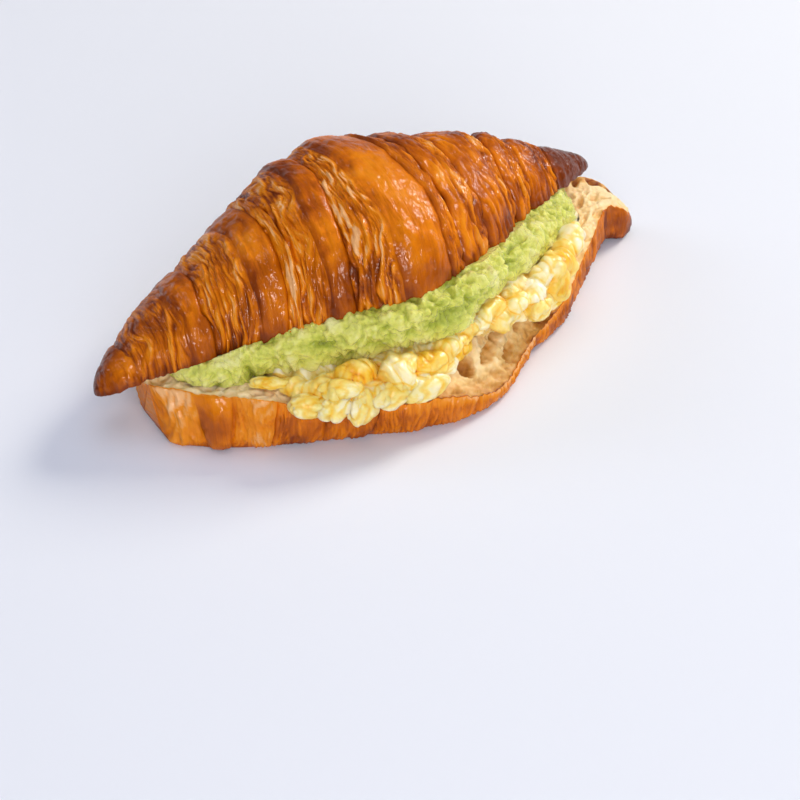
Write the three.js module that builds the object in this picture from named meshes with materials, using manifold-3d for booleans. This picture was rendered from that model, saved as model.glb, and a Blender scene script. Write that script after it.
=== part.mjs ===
// Croissant sandwich, split in two halves round scrambled egg and mashed avocado.
// Millimetres, +Z up, X along the croissant, -Y the open front where the filling shows.
//
// Each half is a loft: a sphere whose rings are moved to sections along X. A section runs over
// the crust from the front lower edge to the back one and returns along the cut face. The rolled
// dough shows as wraps: a smooth skin, then a laminated edge that steps down towards the tip.
// The two fillings are lumpy pillows, cut by the halves so that they lie face to face.

import * as THREE from 'three';
import * as BufferGeometryUtils from 'three/addons/utils/BufferGeometryUtils.js';
import Module from 'manifold-3d';

const wasm = await Module();
wasm.setup();

// ---------------------------------------------------------------- driving dimensions

const GAP = 0.45;              // clearance left between pieces that touch

// Top half, in its own frame: cut face level, tips along X, front towards -Y.
const LID = {
  halfLength: 84,
  // half widths and dome height at shares of the half length, before the tips round off
  frontWidth: [[-0.95, 20], [-0.7, 21.5], [-0.45, 25], [-0.2, 31.5], [0.05, 42], [0.3, 36.5],
    [0.55, 27], [0.95, 18.5]],
  backWidth: [[-0.95, 21.5], [-0.7, 25], [-0.45, 29.5], [-0.2, 36], [0.05, 39], [0.3, 35.5],
    [0.55, 28], [0.95, 18.5]],
  height: [[-0.95, 16], [-0.7, 18], [-0.45, 22.5], [-0.2, 29], [0.05, 30], [0.3, 25],
    [0.55, 22.5], [0.95, 14]],
  cutBelowWidest: 1.5,         // the cut runs this far under the widest line
  bow: -2.2,
  droop: [-9.9, -7.3],         // left and right tip bend down
  points: { crust: 24, cut: 4 },
  ringStep: 5,
  tipRings: [0.4, 1.6, 4, 8],  // extra rings this far in from the tips
};
const LID_PLACE = { tilt: -15.9, pitch: -2.0, yaw: 2.5, at: [-12.7, 4.4, 25.7] };

// Wraps of the top half along its ridge line: [start, end, kind]. A smooth skin bulges, and a
// laminated edge falls towards the nearer tip.
const LID_WRAPS = [
  [-84, -68, 'tip'], [-68, -54.5, 'laminated'], [-54.5, -50, 'skin'], [-50, -34.5, 'laminated'],
  [-34.5, -22, 'skin'], [-22, -18, 'laminated'], [-18, -7.5, 'skin'], [-7.5, -2.5, 'laminated'],
  [-2.5, 17.5, 'skin'], [17.5, 22.5, 'laminated'], [22.5, 26.5, 'skin'], [26.5, 29, 'laminated'],
  [29, 34.5, 'skin'], [34.5, 37.5, 'laminated'], [37.5, 45.5, 'skin'], [45.5, 48, 'laminated'],
  [48, 54.5, 'skin'], [54.5, 66.5, 'laminated'], [66.5, 84, 'tip'],
];
// how far a wrap's edge runs towards -X from the ridge line down to the front edge
const LID_SLANT = [[-84, 2.5], [-54.5, 4.5], [-27, 8], [-4.5, 8], [18, 4.5], [32, 1], [50, 2],
  [84, 3.5]];
const STEP = 1.4;              // height of a wrap's edge
const CROWN_AT = 8;            // wraps left of this place step down leftwards, the others rightwards

// Bottom half, standing on its flat underside.
const BASE = {
  ends: [-82, 83],
  middle: [[-82, -2], [-54.5, -7.5], [-23, -12], [0, -13], [27, -7.5], [54.5, 0], [73, 2],
    [83, 0.5]],
  frontWidth: [[-82, 19], [-71, 19.5], [-58, 24], [-39, 31.5], [-19, 38.5], [-1, 40], [18, 34],
    [35.5, 27.5], [54.5, 18], [68, 9], [73, 8.5], [78, 10.5], [83, 10]],
  backWidth: [[-82, 16.5], [-58, 22.5], [-32, 33.5], [0, 41], [27, 33.5], [50, 22], [73, 8.5],
    [83, 7]],
  frontRim: [[-82, 16.5], [-73, 19], [-63.5, 17.5], [-50, 13], [-27, 11.5], [-13.5, 12], [4.5, 9],
    [22.5, 8], [36.5, 9.5], [54.5, 12.5], [68, 14.5], [83, 12.5]],
  plateau: 16.5,               // height of the cut face behind its lower front rim
  plateauAt: [0.24, 0.55],     // shares of the width where it reaches that height and leaves it
  backRim: 14,
  roundEnd: [9, 15],           // length over which each end closes
  bluntness: [4, 2.2],         // the higher, the squarer the end
  belly: 0.62,                 // share of the wall's rise that follows an arc, the rest is straight
  foot: 2.5,                   // the wall curves in this far to the flat underside
  lean: 1.4,                   // the rim leans in from the widest line
  arch: [69, 5, 2],            // where, how wide and how high the underside lifts by the right tip
  points: { wall: 5, cut: 9, under: 3 },
  ringStep: 5,
  tipRings: [0.3, 1.2, 3],
};
const BASE_WRAPS = [
  [-82, -78, 'tip'], [-78, -69, 'skin'], [-69, -60, 'laminated'], [-60, -52.5, 'skin'],
  [-52.5, -46.5, 'laminated'], [-46.5, -33, 'skin'], [-33, -26.5, 'laminated'], [-26.5, -11, 'skin'],
  [-11, -3.5, 'laminated'], [-3.5, 11, 'skin'], [11, 18, 'laminated'], [18, 30, 'skin'],
  [30, 36.5, 'laminated'], [36.5, 47, 'skin'], [47, 54.5, 'laminated'], [54.5, 65.5, 'skin'],
  [65.5, 73, 'laminated'], [73, 83, 'tip'],
];

// Scrambled egg, on the bottom half.
const EGG = {
  ends: [-56.5, 60],
  front: [[-56.5, -30], [-45.5, -40], [-38, -45], [-30, -45.5], [-13.5, -48], [0, -45.5],
    [12.5, -41.5], [22.5, -38.5], [33, -35], [41, -28.5], [50, -19], [60, -10]],
  back: [[-56.5, -9], [-27, 7.5], [0, 14.5], [27, 13], [60, 2]],
  frontTop: [[-56.5, 19], [-43.5, 20], [-32, 21], [-23.5, 24.5], [-9, 23.5], [4.5, 25.5], [18, 26],
    [28, 23.5], [43.5, 22], [60, 21]],
  backTop: 20.5,
  frontFoot: [[-56.5, 11], [-45.5, 8.5], [-36.5, 7], [-28, 8], [-18, 7.5], [0, 9],
    [18, 8.5], [30, 7], [41, 7.5], [60, 11]],
  backFoot: 12,
  lump: 1.6,
  ringStep: 4.4,
};

// Mashed avocado, under the top half and over the egg.
const AVOCADO = {
  ends: [-82, 60],
  front: [[-82, -13], [-73, -20], [-63.5, -23.5], [-50, -27.5], [-36.5, -34.5], [-22.5, -40.5],
    [-7.5, -43.5], [7.5, -39], [18, -33.5], [32, -26], [43.5, -18], [52.5, -11.5], [60, -5.5]],
  back: [[-82, -2], [-36.5, 11], [0, 18], [32, 16.5], [60, 5.5]],
  frontTop: [[-82, 21], [-63.5, 27.5], [-41, 33], [-13.5, 40], [0, 40], [25.5, 36], [45.5, 32],
    [60, 28]],
  backTop: 24.5,
  frontFoot: [[-82, 13.5], [-63.5, 14], [-43.5, 16], [-32, 17], [-23.5, 20], [-4.5, 20],
    [7.5, 22], [18, 22], [32, 19.5], [45.5, 18], [60, 16]],
  backFoot: 15,
  lump: 1.0,
  ringStep: 4.2,
};

// Both fillings: how a section and the ends of a pillow are rounded.
const PILLOW = {
  around: 20,
  gather: 0.5,                 // points stand this much closer together at the front
  squareness: { across: 0.75, up: 0.6 },
  fall: 0.58,                  // the back's heights are reached at 1 / fall of the half depth
  roundEnd: 8,
  tipRings: [0.5, 1.8],
};
// Rows of bumps on the fillings: each has a length along X and a shift round the section.
const LUMP_LENGTHS = [4.3, 6.7, 9.1];
const LUMP_SHIFTS = [1.9, -2.6, 1.7];


// ---------------------------------------------------------------- helpers

const clamp01 = (value) => Math.min(1, Math.max(0, value));
const ease = (from, to, value) => {
  const share = clamp01((value - from) / (to - from));
  return share * share * (3 - 2 * share);
};
const power = (value, exponent) => Math.sign(value) * Math.abs(value) ** exponent;

// Smooth curve through [place, value] knots: cubic Hermite spans with slopes from the neighbours.
function through(knots) {
  const slope = knots.map((_, i) => {
    const a = knots[Math.max(0, i - 1)];
    const b = knots[Math.min(knots.length - 1, i + 1)];
    return (b[1] - a[1]) / (b[0] - a[0]);
  });
  return (place) => {
    const last = knots.length - 2;
    const next = knots.findIndex((knot) => knot[0] > place);
    const i = next < 0 ? last : Math.min(last, Math.max(0, next - 1));
    const span = knots[i + 1][0] - knots[i][0];
    const t = clamp01((place - knots[i][0]) / span);
    const hold = (1 + 2 * t) * (1 - t) * (1 - t) * knots[i][1] + t * t * (3 - 2 * t) * knots[i + 1][1];
    return hold + t * (1 - t) * span * ((1 - t) * slope[i] - t * slope[i + 1]);
  };
}

// Height of the wraps at a place along the ridge: skins swell, laminated edges fall to the tips.
function wrapHeight(wraps, place) {
  const [start, end, kind] = wraps.find((wrap) => place <= wrap[1]) ?? wraps[wraps.length - 1];
  const share = (place - start) / (end - start);
  const outward = (start + end) / 2 < CROWN_AT ? 1 - share : share;
  if (kind === 'laminated') return STEP * (0.5 - outward);
  if (kind === 'skin') return STEP * (Math.sqrt(outward) - 0.5);
  return STEP * (Math.sin(Math.PI * clamp01(1 - outward)) - 0.5);
}

// Places of the rings: both ends of every wrap, lines between them, and close lines at the tips.
function ringPlaces(wraps, step, tips) {
  const places = [];
  for (const [start, end] of wraps) {
    const count = Math.max(1, Math.round((end - start) / step));
    for (let i = 0; i < count; i += 1) places.push(start + (end - start) * i / count);
  }
  const low = wraps[0][0];
  const high = wraps[wraps.length - 1][1];
  places.push(high);
  for (const inset of tips) places.push(low + inset, high - inset);
  return [...new Set(places)].sort((a, b) => a - b);
}

// A sphere whose rings are moved to the given places: pointAt(place, point) gives each vertex, with
// point counting round the section. The two end rings close to a point.
function loft(places, around, pointAt) {
  const sphere = new THREE.SphereGeometry(1, around, places.length - 1);
  const position = sphere.getAttribute('position');
  for (let i = 0; i < position.count; i += 1) {
    const ring = Math.floor(i / (around + 1));
    const point = (i % (around + 1)) % around;
    position.setXYZ(i, ...pointAt(places[ring], point));
  }
  sphere.deleteAttribute('normal');
  sphere.deleteAttribute('uv');
  return BufferGeometryUtils.mergeVertices(sphere, 1e-4);
}

function toSolid(geometry) {
  return new wasm.Manifold(new wasm.Mesh({
    numProp: 3,
    vertProperties: new Float32Array(geometry.getAttribute('position').array),
    triVerts: new Uint32Array(geometry.getIndex().array),
  }));
}

function toGeometry(solid) {
  const mesh = solid.getMesh();
  const geometry = new THREE.BufferGeometry();
  geometry.setAttribute('position', new THREE.BufferAttribute(mesh.vertProperties, 3));
  geometry.setIndex(new THREE.BufferAttribute(mesh.triVerts, 1));
  return geometry;
}

// ---------------------------------------------------------------- top half

const lidFront = through(LID.frontWidth);
const lidBack = through(LID.backWidth);
const lidHeight = through(LID.height);
const lidSlant = through(LID_SLANT);

function topHalf(grow) {
  const { crust, cut } = LID.points;
  const places = ringPlaces(LID_WRAPS, LID.ringStep, LID.tipRings);
  const geometry = loft(places, crust + cut, (ridge, point) => {
    const share = Math.min(1, Math.abs(ridge) / LID.halfLength);
    const round = Math.sqrt(1 - share * share);
    const skin = round > 0 ? grow : 0;
    const swell = Math.sqrt(round) * wrapHeight(LID_WRAPS, ridge) + skin;
    const frontReach = round * lidFront(ridge / LID.halfLength) + swell;
    const backReach = round * lidBack(ridge / LID.halfLength) + swell;
    const height = round * lidHeight(ridge / LID.halfLength) + swell;
    const below = round * LID.cutBelowWidest;
    const start = -Math.asin(Math.min(1, (below + skin) / Math.max(height, 0.01)));
    // over the crust from the front edge to the back edge, then along the cut face
    const angle = start + (Math.PI - 2 * start) * Math.min(1, point / crust);
    const across = Math.max(0, point - crust) / cut;
    const cos = Math.cos(angle);
    const crustY = -cos * (cos > 0 ? frontReach : backReach);
    const y = crustY * (1 - across) - Math.cos(start) * frontReach * across;
    const z = point > crust ? -skin : Math.sin(angle) * height + below;
    const down = (90 - THREE.MathUtils.radToDeg(angle)) / 90 * (1 - 2 * across);
    const along = (ridge - lidSlant(ridge) * down * round) * (1 + grow / LID.halfLength);
    const bend = (ridge < 0 ? LID.droop[0] : LID.droop[1]) * share * share;
    return [along, y + LID.bow * (1 - share * share), z + bend];
  });
  const { tilt, pitch, yaw, at } = LID_PLACE;
  geometry.rotateX(THREE.MathUtils.degToRad(tilt));
  geometry.rotateY(THREE.MathUtils.degToRad(pitch));
  geometry.rotateZ(THREE.MathUtils.degToRad(yaw));
  geometry.translate(...at);
  return geometry;
}

// ---------------------------------------------------------------- bottom half

const baseMiddle = through(BASE.middle);
const baseFront = through(BASE.frontWidth);
const baseBack = through(BASE.backWidth);
const baseRim = through(BASE.frontRim);

// Height of the cut face: it rises from the front rim to the plateau and falls to the back rim.
function cutHeight(place, across) {
  const rim = baseRim(place);
  const level = Math.max(rim, BASE.plateau);
  const [reached, left] = BASE.plateauAt;
  const risen = rim + (level - rim) * ease(0, reached, across);
  return risen + (BASE.backRim - level) * ease(left, 1, across);
}

// A wall's inset from the widest line and its height, from the foot (0) to the rim (1).
function wall(share, rim) {
  const angle = share * Math.PI / 2;
  const inset = BASE.foot * (1 - Math.sin(angle)) + BASE.lean * ease(0.5, 1, share);
  return [inset, rim * (BASE.belly * (1 - Math.cos(angle)) + (1 - BASE.belly) * share)];
}

function bottomHalf(grow) {
  const { wall: up, cut, under } = BASE.points;
  const places = ringPlaces(BASE_WRAPS, BASE.ringStep, BASE.tipRings);
  const [low, high] = BASE.ends;
  return loft(places, 2 * up + cut + under, (place, point) => {
    const fromLeft = clamp01((place - low) / BASE.roundEnd[0]);
    const fromRight = clamp01((high - place) / BASE.roundEnd[1]);
    const leftEnd = 1 - (1 - fromLeft) ** BASE.bluntness[0];
    const rightEnd = 1 - (1 - fromRight) ** BASE.bluntness[1];
    const closing = Math.sqrt(leftEnd * rightEnd);
    const skin = closing > 0 ? grow : 0;
    const swell = wrapHeight(BASE_WRAPS, place);
    const front = -closing * (baseFront(place) + swell) - skin;
    const back = closing * (baseBack(place) + swell) + skin;
    const [archAt, archWide, archHigh] = BASE.arch;
    const lift = closing * archHigh * Math.exp(-(((place - archAt) / archWide) ** 2));
    let y;
    let z;
    if (point <= up) {
      const [inset, rise] = wall(point / up, closing * cutHeight(place, 0));
      y = front + closing * inset;
      z = rise + (lift - skin) * (1 - point / up) + skin * point / up;
    } else if (point < up + cut) {
      const across = (point - up) / cut;
      const edge = closing * BASE.lean;
      y = (front + edge) * (1 - across) + (back - edge) * across;
      z = closing * cutHeight(place, across) + skin;
    } else if (point <= 2 * up + cut) {
      const share = (2 * up + cut - point) / up;
      const [inset, rise] = wall(share, closing * cutHeight(place, 1));
      y = back - closing * inset;
      z = rise + (lift - skin) * (1 - share) + skin * share;
    } else {
      const across = (point - 2 * up - cut) / under;
      const foot = closing * BASE.foot;
      y = (back - foot) * (1 - across) + (front + foot) * across;
      z = lift - skin;
    }
    return [place + Math.sign(place) * (grow - skin), baseMiddle(place) + y, z];
  });
}

// ---------------------------------------------------------------- fillings

// Rounded lumps with creases between them: three crossed rows of bumps.
function lumps(place, angle, size) {
  const bumps = LUMP_LENGTHS.map((length, row) => {
    const turned = row === 0 ? Math.cos(angle) : Math.sin(angle);
    return Math.abs(Math.sin(place / length + LUMP_SHIFTS[row] * turned)) - 0.5;
  });
  return size * bumps.reduce((sum, bump) => sum + bump, 0);
}

// Pillow between a foot line and a top line, both given at the front and the back, with lumps.
function pillow(shape, grow) {
  const front = through(shape.front);
  const back = through(shape.back);
  const frontTop = through(shape.frontTop);
  const frontFoot = through(shape.frontFoot);
  const [low, high] = shape.ends;
  const places = ringPlaces([shape.ends], shape.ringStep, PILLOW.tipRings);
  return loft(places, PILLOW.around, (place, point) => {
    const inFromEnd = clamp01(Math.min(place - low, high - place) / PILLOW.roundEnd);
    const closing = Math.sqrt(1 - (1 - inFromEnd) ** 2);
    const skin = closing > 0 ? grow : 0;
    const turn = 2 * Math.PI * point / PILLOW.around;
    const angle = turn - PILLOW.gather * Math.sin(turn);
    const forward = closing * power(Math.cos(angle), PILLOW.squareness.across);
    const slope = Math.min(1, (1 - forward) * PILLOW.fall);
    const top = frontTop(place) * (1 - slope) + shape.backTop * slope;
    const foot = frontFoot(place) * (1 - slope) + shape.backFoot * slope;
    const bump = closing * lumps(place, angle, shape.lump) + skin;
    const half = (back(place) - front(place)) / 2;
    const y = front(place) + half * (1 - forward) - Math.cos(angle) * bump;
    const round = closing * power(Math.sin(angle), PILLOW.squareness.up);
    const z = (top + foot) / 2 + round * (top - foot) / 2 + Math.sin(angle) * bump;
    return [place + Math.sign(place) * (grow - skin), y, z];
  });
}

// ---------------------------------------------------------------- assembly

const top = toSolid(topHalf(0));
const topRoom = toSolid(topHalf(GAP));
const bottomRoom = toSolid(bottomHalf(GAP));
const bottom = toSolid(bottomHalf(0)).subtract(topRoom);
const egg = toSolid(pillow(EGG, 0)).subtract(bottomRoom).subtract(topRoom);
const eggRoom = toSolid(pillow(EGG, GAP));
const avocado = toSolid(pillow(AVOCADO, 0)).subtract(bottomRoom).subtract(topRoom).subtract(eggRoom);

const PIECES = [
  ['croissant_base', bottom, 0xc87a35, 0.55],
  ['croissant_top', top, 0xa9551c, 0.38],
  ['scrambled_egg', egg, 0xf3dc86, 0.45],
  ['mashed_avocado', avocado, 0xaebf4e, 0.42],
];

const group = new THREE.Group();
for (const [name, solid, color, roughness] of PIECES) {
  const material = new THREE.MeshStandardMaterial({ color, roughness, metalness: 0 });
  const mesh = new THREE.Mesh(toGeometry(solid), material);
  mesh.name = name;
  group.add(mesh);
}

// the origin is under the middle of the whole sandwich
const extent = new THREE.Box3().setFromObject(group);
const middle = extent.getCenter(new THREE.Vector3());
group.position.set(-middle.x, -middle.y, -extent.min.z);

export default group;
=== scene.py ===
import math

import bpy
import numpy as np
from mathutils import Matrix, Vector


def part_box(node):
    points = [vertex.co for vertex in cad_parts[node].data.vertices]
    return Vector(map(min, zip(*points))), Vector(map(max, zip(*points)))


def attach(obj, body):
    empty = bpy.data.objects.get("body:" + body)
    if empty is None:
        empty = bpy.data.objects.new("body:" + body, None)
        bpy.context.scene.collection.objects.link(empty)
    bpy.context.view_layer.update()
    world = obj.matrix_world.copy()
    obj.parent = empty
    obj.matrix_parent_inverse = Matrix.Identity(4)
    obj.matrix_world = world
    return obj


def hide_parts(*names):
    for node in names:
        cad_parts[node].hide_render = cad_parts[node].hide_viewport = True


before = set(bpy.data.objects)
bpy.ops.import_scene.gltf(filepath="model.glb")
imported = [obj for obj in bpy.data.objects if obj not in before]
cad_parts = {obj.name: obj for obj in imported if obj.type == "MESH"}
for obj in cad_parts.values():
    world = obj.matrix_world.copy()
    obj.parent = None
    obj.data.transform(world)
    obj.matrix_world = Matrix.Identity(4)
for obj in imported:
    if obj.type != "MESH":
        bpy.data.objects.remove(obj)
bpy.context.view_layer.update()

bl_info = {
    "name": "Croissant Sandwich",
    "version": (1, 0, 0),
    "blender": (4, 5, 0),
    "location": "View3D > Sidebar > Croissant",
    "description": "A split croissant filled with scrambled egg and mashed avocado",
    "category": "Add Mesh",
}

# Lengths are in mm, X to the right, Y to the back and Z up, until closed_loft turns them to metres
MM = 0.001

# ---------------------------------------------------------------- curves, noise and cells


def through(knots):
    """Smooth curve through (place, value) knots: cubic spans whose slope at a knot is that of the
    line between its two neighbours."""
    place, value = np.array(knots, float).T
    before = np.maximum(np.arange(len(place)) - 1, 0)
    after = np.minimum(np.arange(len(place)) + 1, len(place) - 1)
    slope = (value[after] - value[before]) / (place[after] - place[before])

    def curve(x):
        i = np.clip(np.searchsorted(place, x, side="right") - 1, 0, len(place) - 2)
        span = place[i + 1] - place[i]
        t = np.clip((x - place[i]) / span, 0, 1)
        hold = (1 + 2 * t) * (1 - t) ** 2 * value[i] + t * t * (3 - 2 * t) * value[i + 1]
        return hold + t * (1 - t) * span * ((1 - t) * slope[i] - t * slope[i + 1])

    return curve


def ease(start, end, x):
    """0 before start, 1 after end, and the smooth step 3t^2 - 2t^3 between."""
    t = np.clip((x - start) / (end - start), 0, 1)
    return t * t * (3 - 2 * t)


def chance(*whole, seed):
    """A repeatable random number from 0 to 1 for each set of whole numbers: an integer hash."""
    mixed = np.uint64(seed * 7919 + 12345)
    for step, number in zip((0x9E3779B1, 0x85EBCA77, 0xC2B2AE3D), whole):
        number = np.asarray(number, np.int64).astype(np.uint64)
        mixed = (mixed ^ (number * np.uint64(step))) * np.uint64(0x27D4EB2F)
        mixed = mixed ^ (mixed >> np.uint64(15))
        mixed = mixed * np.uint64(0x165667B1)
        mixed = mixed ^ (mixed >> np.uint64(13))
    return (mixed & np.uint64(0xFFFFFF)).astype(float) / 0xFFFFFF


def noise(x, y, z, seed):
    """Gradient noise, about -1 to 1: at each corner of a unit lattice a random slope, and between
    the corners a smooth blend of the eight planes."""
    point = np.stack(np.broadcast_arrays(*(np.asarray(v, float) for v in (x, y, z))), -1)
    corner = np.floor(point).astype(np.int64)
    inside = point - corner
    blend = inside ** 3 * (inside * (inside * 6 - 15) + 10)
    total = 0.0
    for dx in (0, 1):
        for dy in (0, 1):
            for dz in (0, 1):
                at = corner + (dx, dy, dz)
                away = inside - (dx, dy, dz)
                weight = 1.0
                plane = 0.0
                for axis, side in enumerate((dx, dy, dz)):
                    weight = weight * (blend[..., axis] if side else 1 - blend[..., axis])
                    lean = chance(at[..., 0], at[..., 1], at[..., 2], seed=seed * 3 + axis)
                    plane = plane + (2 * lean - 1) * away[..., axis]
                total = total + weight * plane
    return 1.6 * total


def rough(x, y, z, seed, octaves=3):
    """Sum of noises, each at twice the frequency and half the height of the one before."""
    return sum(noise(x * 2 ** k, y * 2 ** k, z * 2 ** k, seed + k) / 2 ** k for k in range(octaves))


def centres_near(point, size, seed):
    """One random centre stands in each cube of the given size. For each of the 27 cubes at and round
    each point: the way from the point to the centre, in cubes, and a random number of the centre."""
    point = point / size
    cube = np.floor(point).astype(np.int64)
    for move in np.ndindex(3, 3, 3):
        at = cube + np.array(move) - 1
        keys = (at[..., 0], at[..., 1], at[..., 2])
        centre = at + np.stack([chance(*keys, seed=seed * 5 + k) for k in range(3)], -1)
        yield centre - point, chance(*keys, seed=seed * 5 + 4)


def cells(point, size, seed):
    """Distance, in cells, from each point to the nearest of the random centres, and its number."""
    nearest = np.full(point.shape[:-1], 9.0)
    owner = np.zeros(point.shape[:-1])
    for way, number in centres_near(point, size, seed):
        far = np.linalg.norm(way, axis=-1)
        owner = np.where(far < nearest, number, owner)
        nearest = np.minimum(nearest, far)
    return nearest, owner


def domes(point, size, sharp, seed):
    """Round lumps that meet in soft creases, about 0 to 1: a smooth minimum of the squared distances
    to random centres, -ln(sum(w exp(-sharp d^2))) / sharp, turned over. The weights w make some
    lumps larger than others."""
    total = 1e-9
    for way, number in centres_near(np.stack(np.broadcast_arrays(*point), -1), size, seed):
        total = total + (0.3 + 1.4 * number) * np.exp(-sharp * (way ** 2).sum(-1))
    return np.clip(0.95 + 1.6 * np.log(total) / sharp, -0.2, 1.25)


def billow(x, y, z, seed):
    """Puffy folds with narrow creases, 0 to about 1: the size of a noise, rounded at its creases."""
    return np.sqrt(noise(x, y, z, seed) ** 2 + 0.004) * 1.6


# ---------------------------------------------------------------- meshes


def outward(grid, closed):
    """Unit normals of a grid of points: the cross product of its two directions. closed says that
    the second direction comes back to its start."""
    along = np.gradient(grid, axis=0)
    if closed:
        round_ = (np.roll(grid, -1, 1) - np.roll(grid, 1, 1)) / 2
    else:
        round_ = np.gradient(grid, axis=1)
    cross = np.cross(along, round_)
    return cross / np.maximum(np.linalg.norm(cross, axis=-1, keepdims=True), 1e-9)


def facing(normal, way):
    """Normals turned over where they point against a way."""
    return normal * np.sign((normal * way).sum(-1, keepdims=True))


def running_length(grid, closed=False):
    """Length passed along the second direction of a grid, 0 at its start."""
    steps = np.diff(grid, axis=1, append=grid[:, :1]) if closed else np.diff(grid, axis=1)
    return np.concatenate([np.zeros((len(grid), 1)), np.cumsum(np.linalg.norm(steps, axis=-1), 1)], 1)


def face_corners(rings, around):
    """Ring and column of each corner of a loft's faces: quads between rings, and a fan of triangles
    at each pole."""
    ring, column = (a.ravel() for a in np.meshgrid(np.arange(1, rings - 2), np.arange(around),
                                                   indexing="ij"))
    quads = np.stack([ring, column, ring, column + 1, ring + 1, column + 1, ring + 1, column], 1)
    column = np.arange(around)
    first = 0 * column
    last = first + rings - 2
    fans = np.concatenate([np.stack([first, column, first + 1, column + 1, first + 1, column], 1),
                           np.stack([last, column, last, column + 1, last + 1, column], 1)])
    return quads.reshape(-1, 4, 2), fans.reshape(-1, 3, 2)


def signed_volume(points, triangles):
    """Volume inside triangles, below 0 where they face inwards: the sum of a . (b x c) / 6."""
    a, b, c = (points[triangles[:, k]] for k in range(3))
    return float(np.einsum("ij,ij->i", a, np.cross(b, c)).sum() / 6)


def closed_loft(name, grid, values, along, around, finish):
    """Makes a mesh object of a grid of points in mm: rings by points round each ring. The first
    and last rings close to a pole. values holds numbers for each point, along and around are the
    pattern coordinates in mm, and finish gives each column's material number."""
    rings, count = grid.shape[:2]
    last_pole = 1 + (rings - 2) * count
    points = np.concatenate([grid[0].mean(0)[None], grid[1:-1].reshape(-1, 3),
                             grid[-1].mean(0)[None]]) * MM

    def number(at):
        return np.clip(1 + (at[..., 0] - 1) * count + at[..., 1] % count, 0, last_pole)

    quads, fans = face_corners(rings, count)
    body = number(quads)
    if signed_volume(points, body[:, :3]) + signed_volume(points, body[:, (0, 2, 3)]) < 0:
        quads, fans = quads[:, ::-1], fans[:, ::-1]
    at = np.concatenate([quads.reshape(-1, 2), fans.reshape(-1, 2)])
    sizes = np.r_[np.full(len(quads), 4), np.full(len(fans), 3)]
    first = np.r_[0, np.cumsum(sizes)[:-1]]
    mesh = bpy.data.meshes.new(name)
    mesh.vertices.add(len(points))
    mesh.vertices.foreach_set("co", points.astype(np.float32).ravel())
    mesh.loops.add(len(at))
    mesh.loops.foreach_set("vertex_index", number(at).astype(np.int32))
    mesh.polygons.add(len(sizes))
    column = np.minimum.reduceat(at[:, 1], first)
    for label, value in (("loop_start", first), ("loop_total", sizes),
                         ("material_index", np.asarray(finish)[column])):
        mesh.polygons.foreach_set(label, value.astype(np.int32))
    mesh.polygons.foreach_set("use_smooth", np.ones(len(sizes), bool))
    flat = np.stack([along[at[:, 0], at[:, 1]], around[at[:, 0], at[:, 1]]], 1) * MM
    mesh.uv_layers.new(name="surface").data.foreach_set("uv", flat.astype(np.float32).ravel())
    for label, value in values.items():
        value = np.broadcast_to(value, (rings, count))
        spread = np.r_[value[0].mean(), value[1:-1].ravel(), value[-1].mean()]
        mark = mesh.attributes.new(label, "FLOAT", "POINT")
        mark.data.foreach_set("value", spread.astype(np.float32))
    mesh.update(calc_edges=True)
    mesh.validate()
    piece = bpy.data.objects.new(name, mesh)
    bpy.context.scene.collection.objects.link(piece)
    return piece


def joined(name, pieces):
    """One object from several, by joining their meshes. All of them sit at the origin."""
    with bpy.context.temp_override(active_object=pieces[0], selected_editable_objects=pieces):
        bpy.ops.object.join()
    pieces[0].name = name
    pieces[0].data.name = name
    return pieces[0]


def settle(piece, node, materials):
    """A finished piece rides on the one body, stands for its CAD node and gets its materials."""
    for material in materials:
        piece.data.materials.append(material)
    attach(piece, "root")
    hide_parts(node)


# ---------------------------------------------------------------- materials


def srgb(code):
    """A colour written as sRGB hex turned to linear red, green, blue and alpha."""
    parts = np.array([int(code[k:k + 2], 16) for k in (1, 3, 5)]) / 255
    linear = np.where(parts > 0.04045, ((parts + 0.055) / 1.055) ** 2.4, parts / 12.92)
    return (*linear.tolist(), 1.0)


def add_node(tree, kind, inputs=None, stops=None, out=0, to=None, **settings):
    """Adds a node with its settings and returns one of its outputs. inputs maps a socket's name or
    number to a value or to the output that feeds it, stops sets the colours of a ramp, and to is
    a socket that the output feeds."""
    node = tree.nodes.new(kind)
    for name, value in settings.items():
        setattr(node, name, value)
    for socket, value in (inputs or {}).items():
        if isinstance(value, bpy.types.NodeSocket):
            tree.links.new(value, node.inputs[socket])
        else:
            node.inputs[socket].default_value = value
    if stops:
        ramp = node.color_ramp.elements
        while len(ramp) < len(stops):
            ramp.new(0.5)
        for element, (place, tint) in zip(ramp, stops):
            element.position = place
            element.color = tint
    if to is not None:
        tree.links.new(node.outputs[out], to)
    return node.outputs[out]


def new_material(name, constants):
    """A node material with its tree and its Principled shader, on whose own sockets the constants
    are set."""
    material = bpy.data.materials.new(name)
    material.use_nodes = True
    tree = material.node_tree
    shader = tree.nodes["Principled BSDF"]
    for socket, value in constants.items():
        shader.inputs[socket].default_value = value
    return material, tree, shader


def toned(tree, mark, *parts):
    """A mark plus each pattern times its weight. A last part below 0 brings the average back to
    about the mark."""
    for source, weight in parts:
        mark = add_node(tree, "ShaderNodeMath", {0: source, 1: weight, 2: mark},
                        operation="MULTIPLY_ADD")
    return mark


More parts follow.
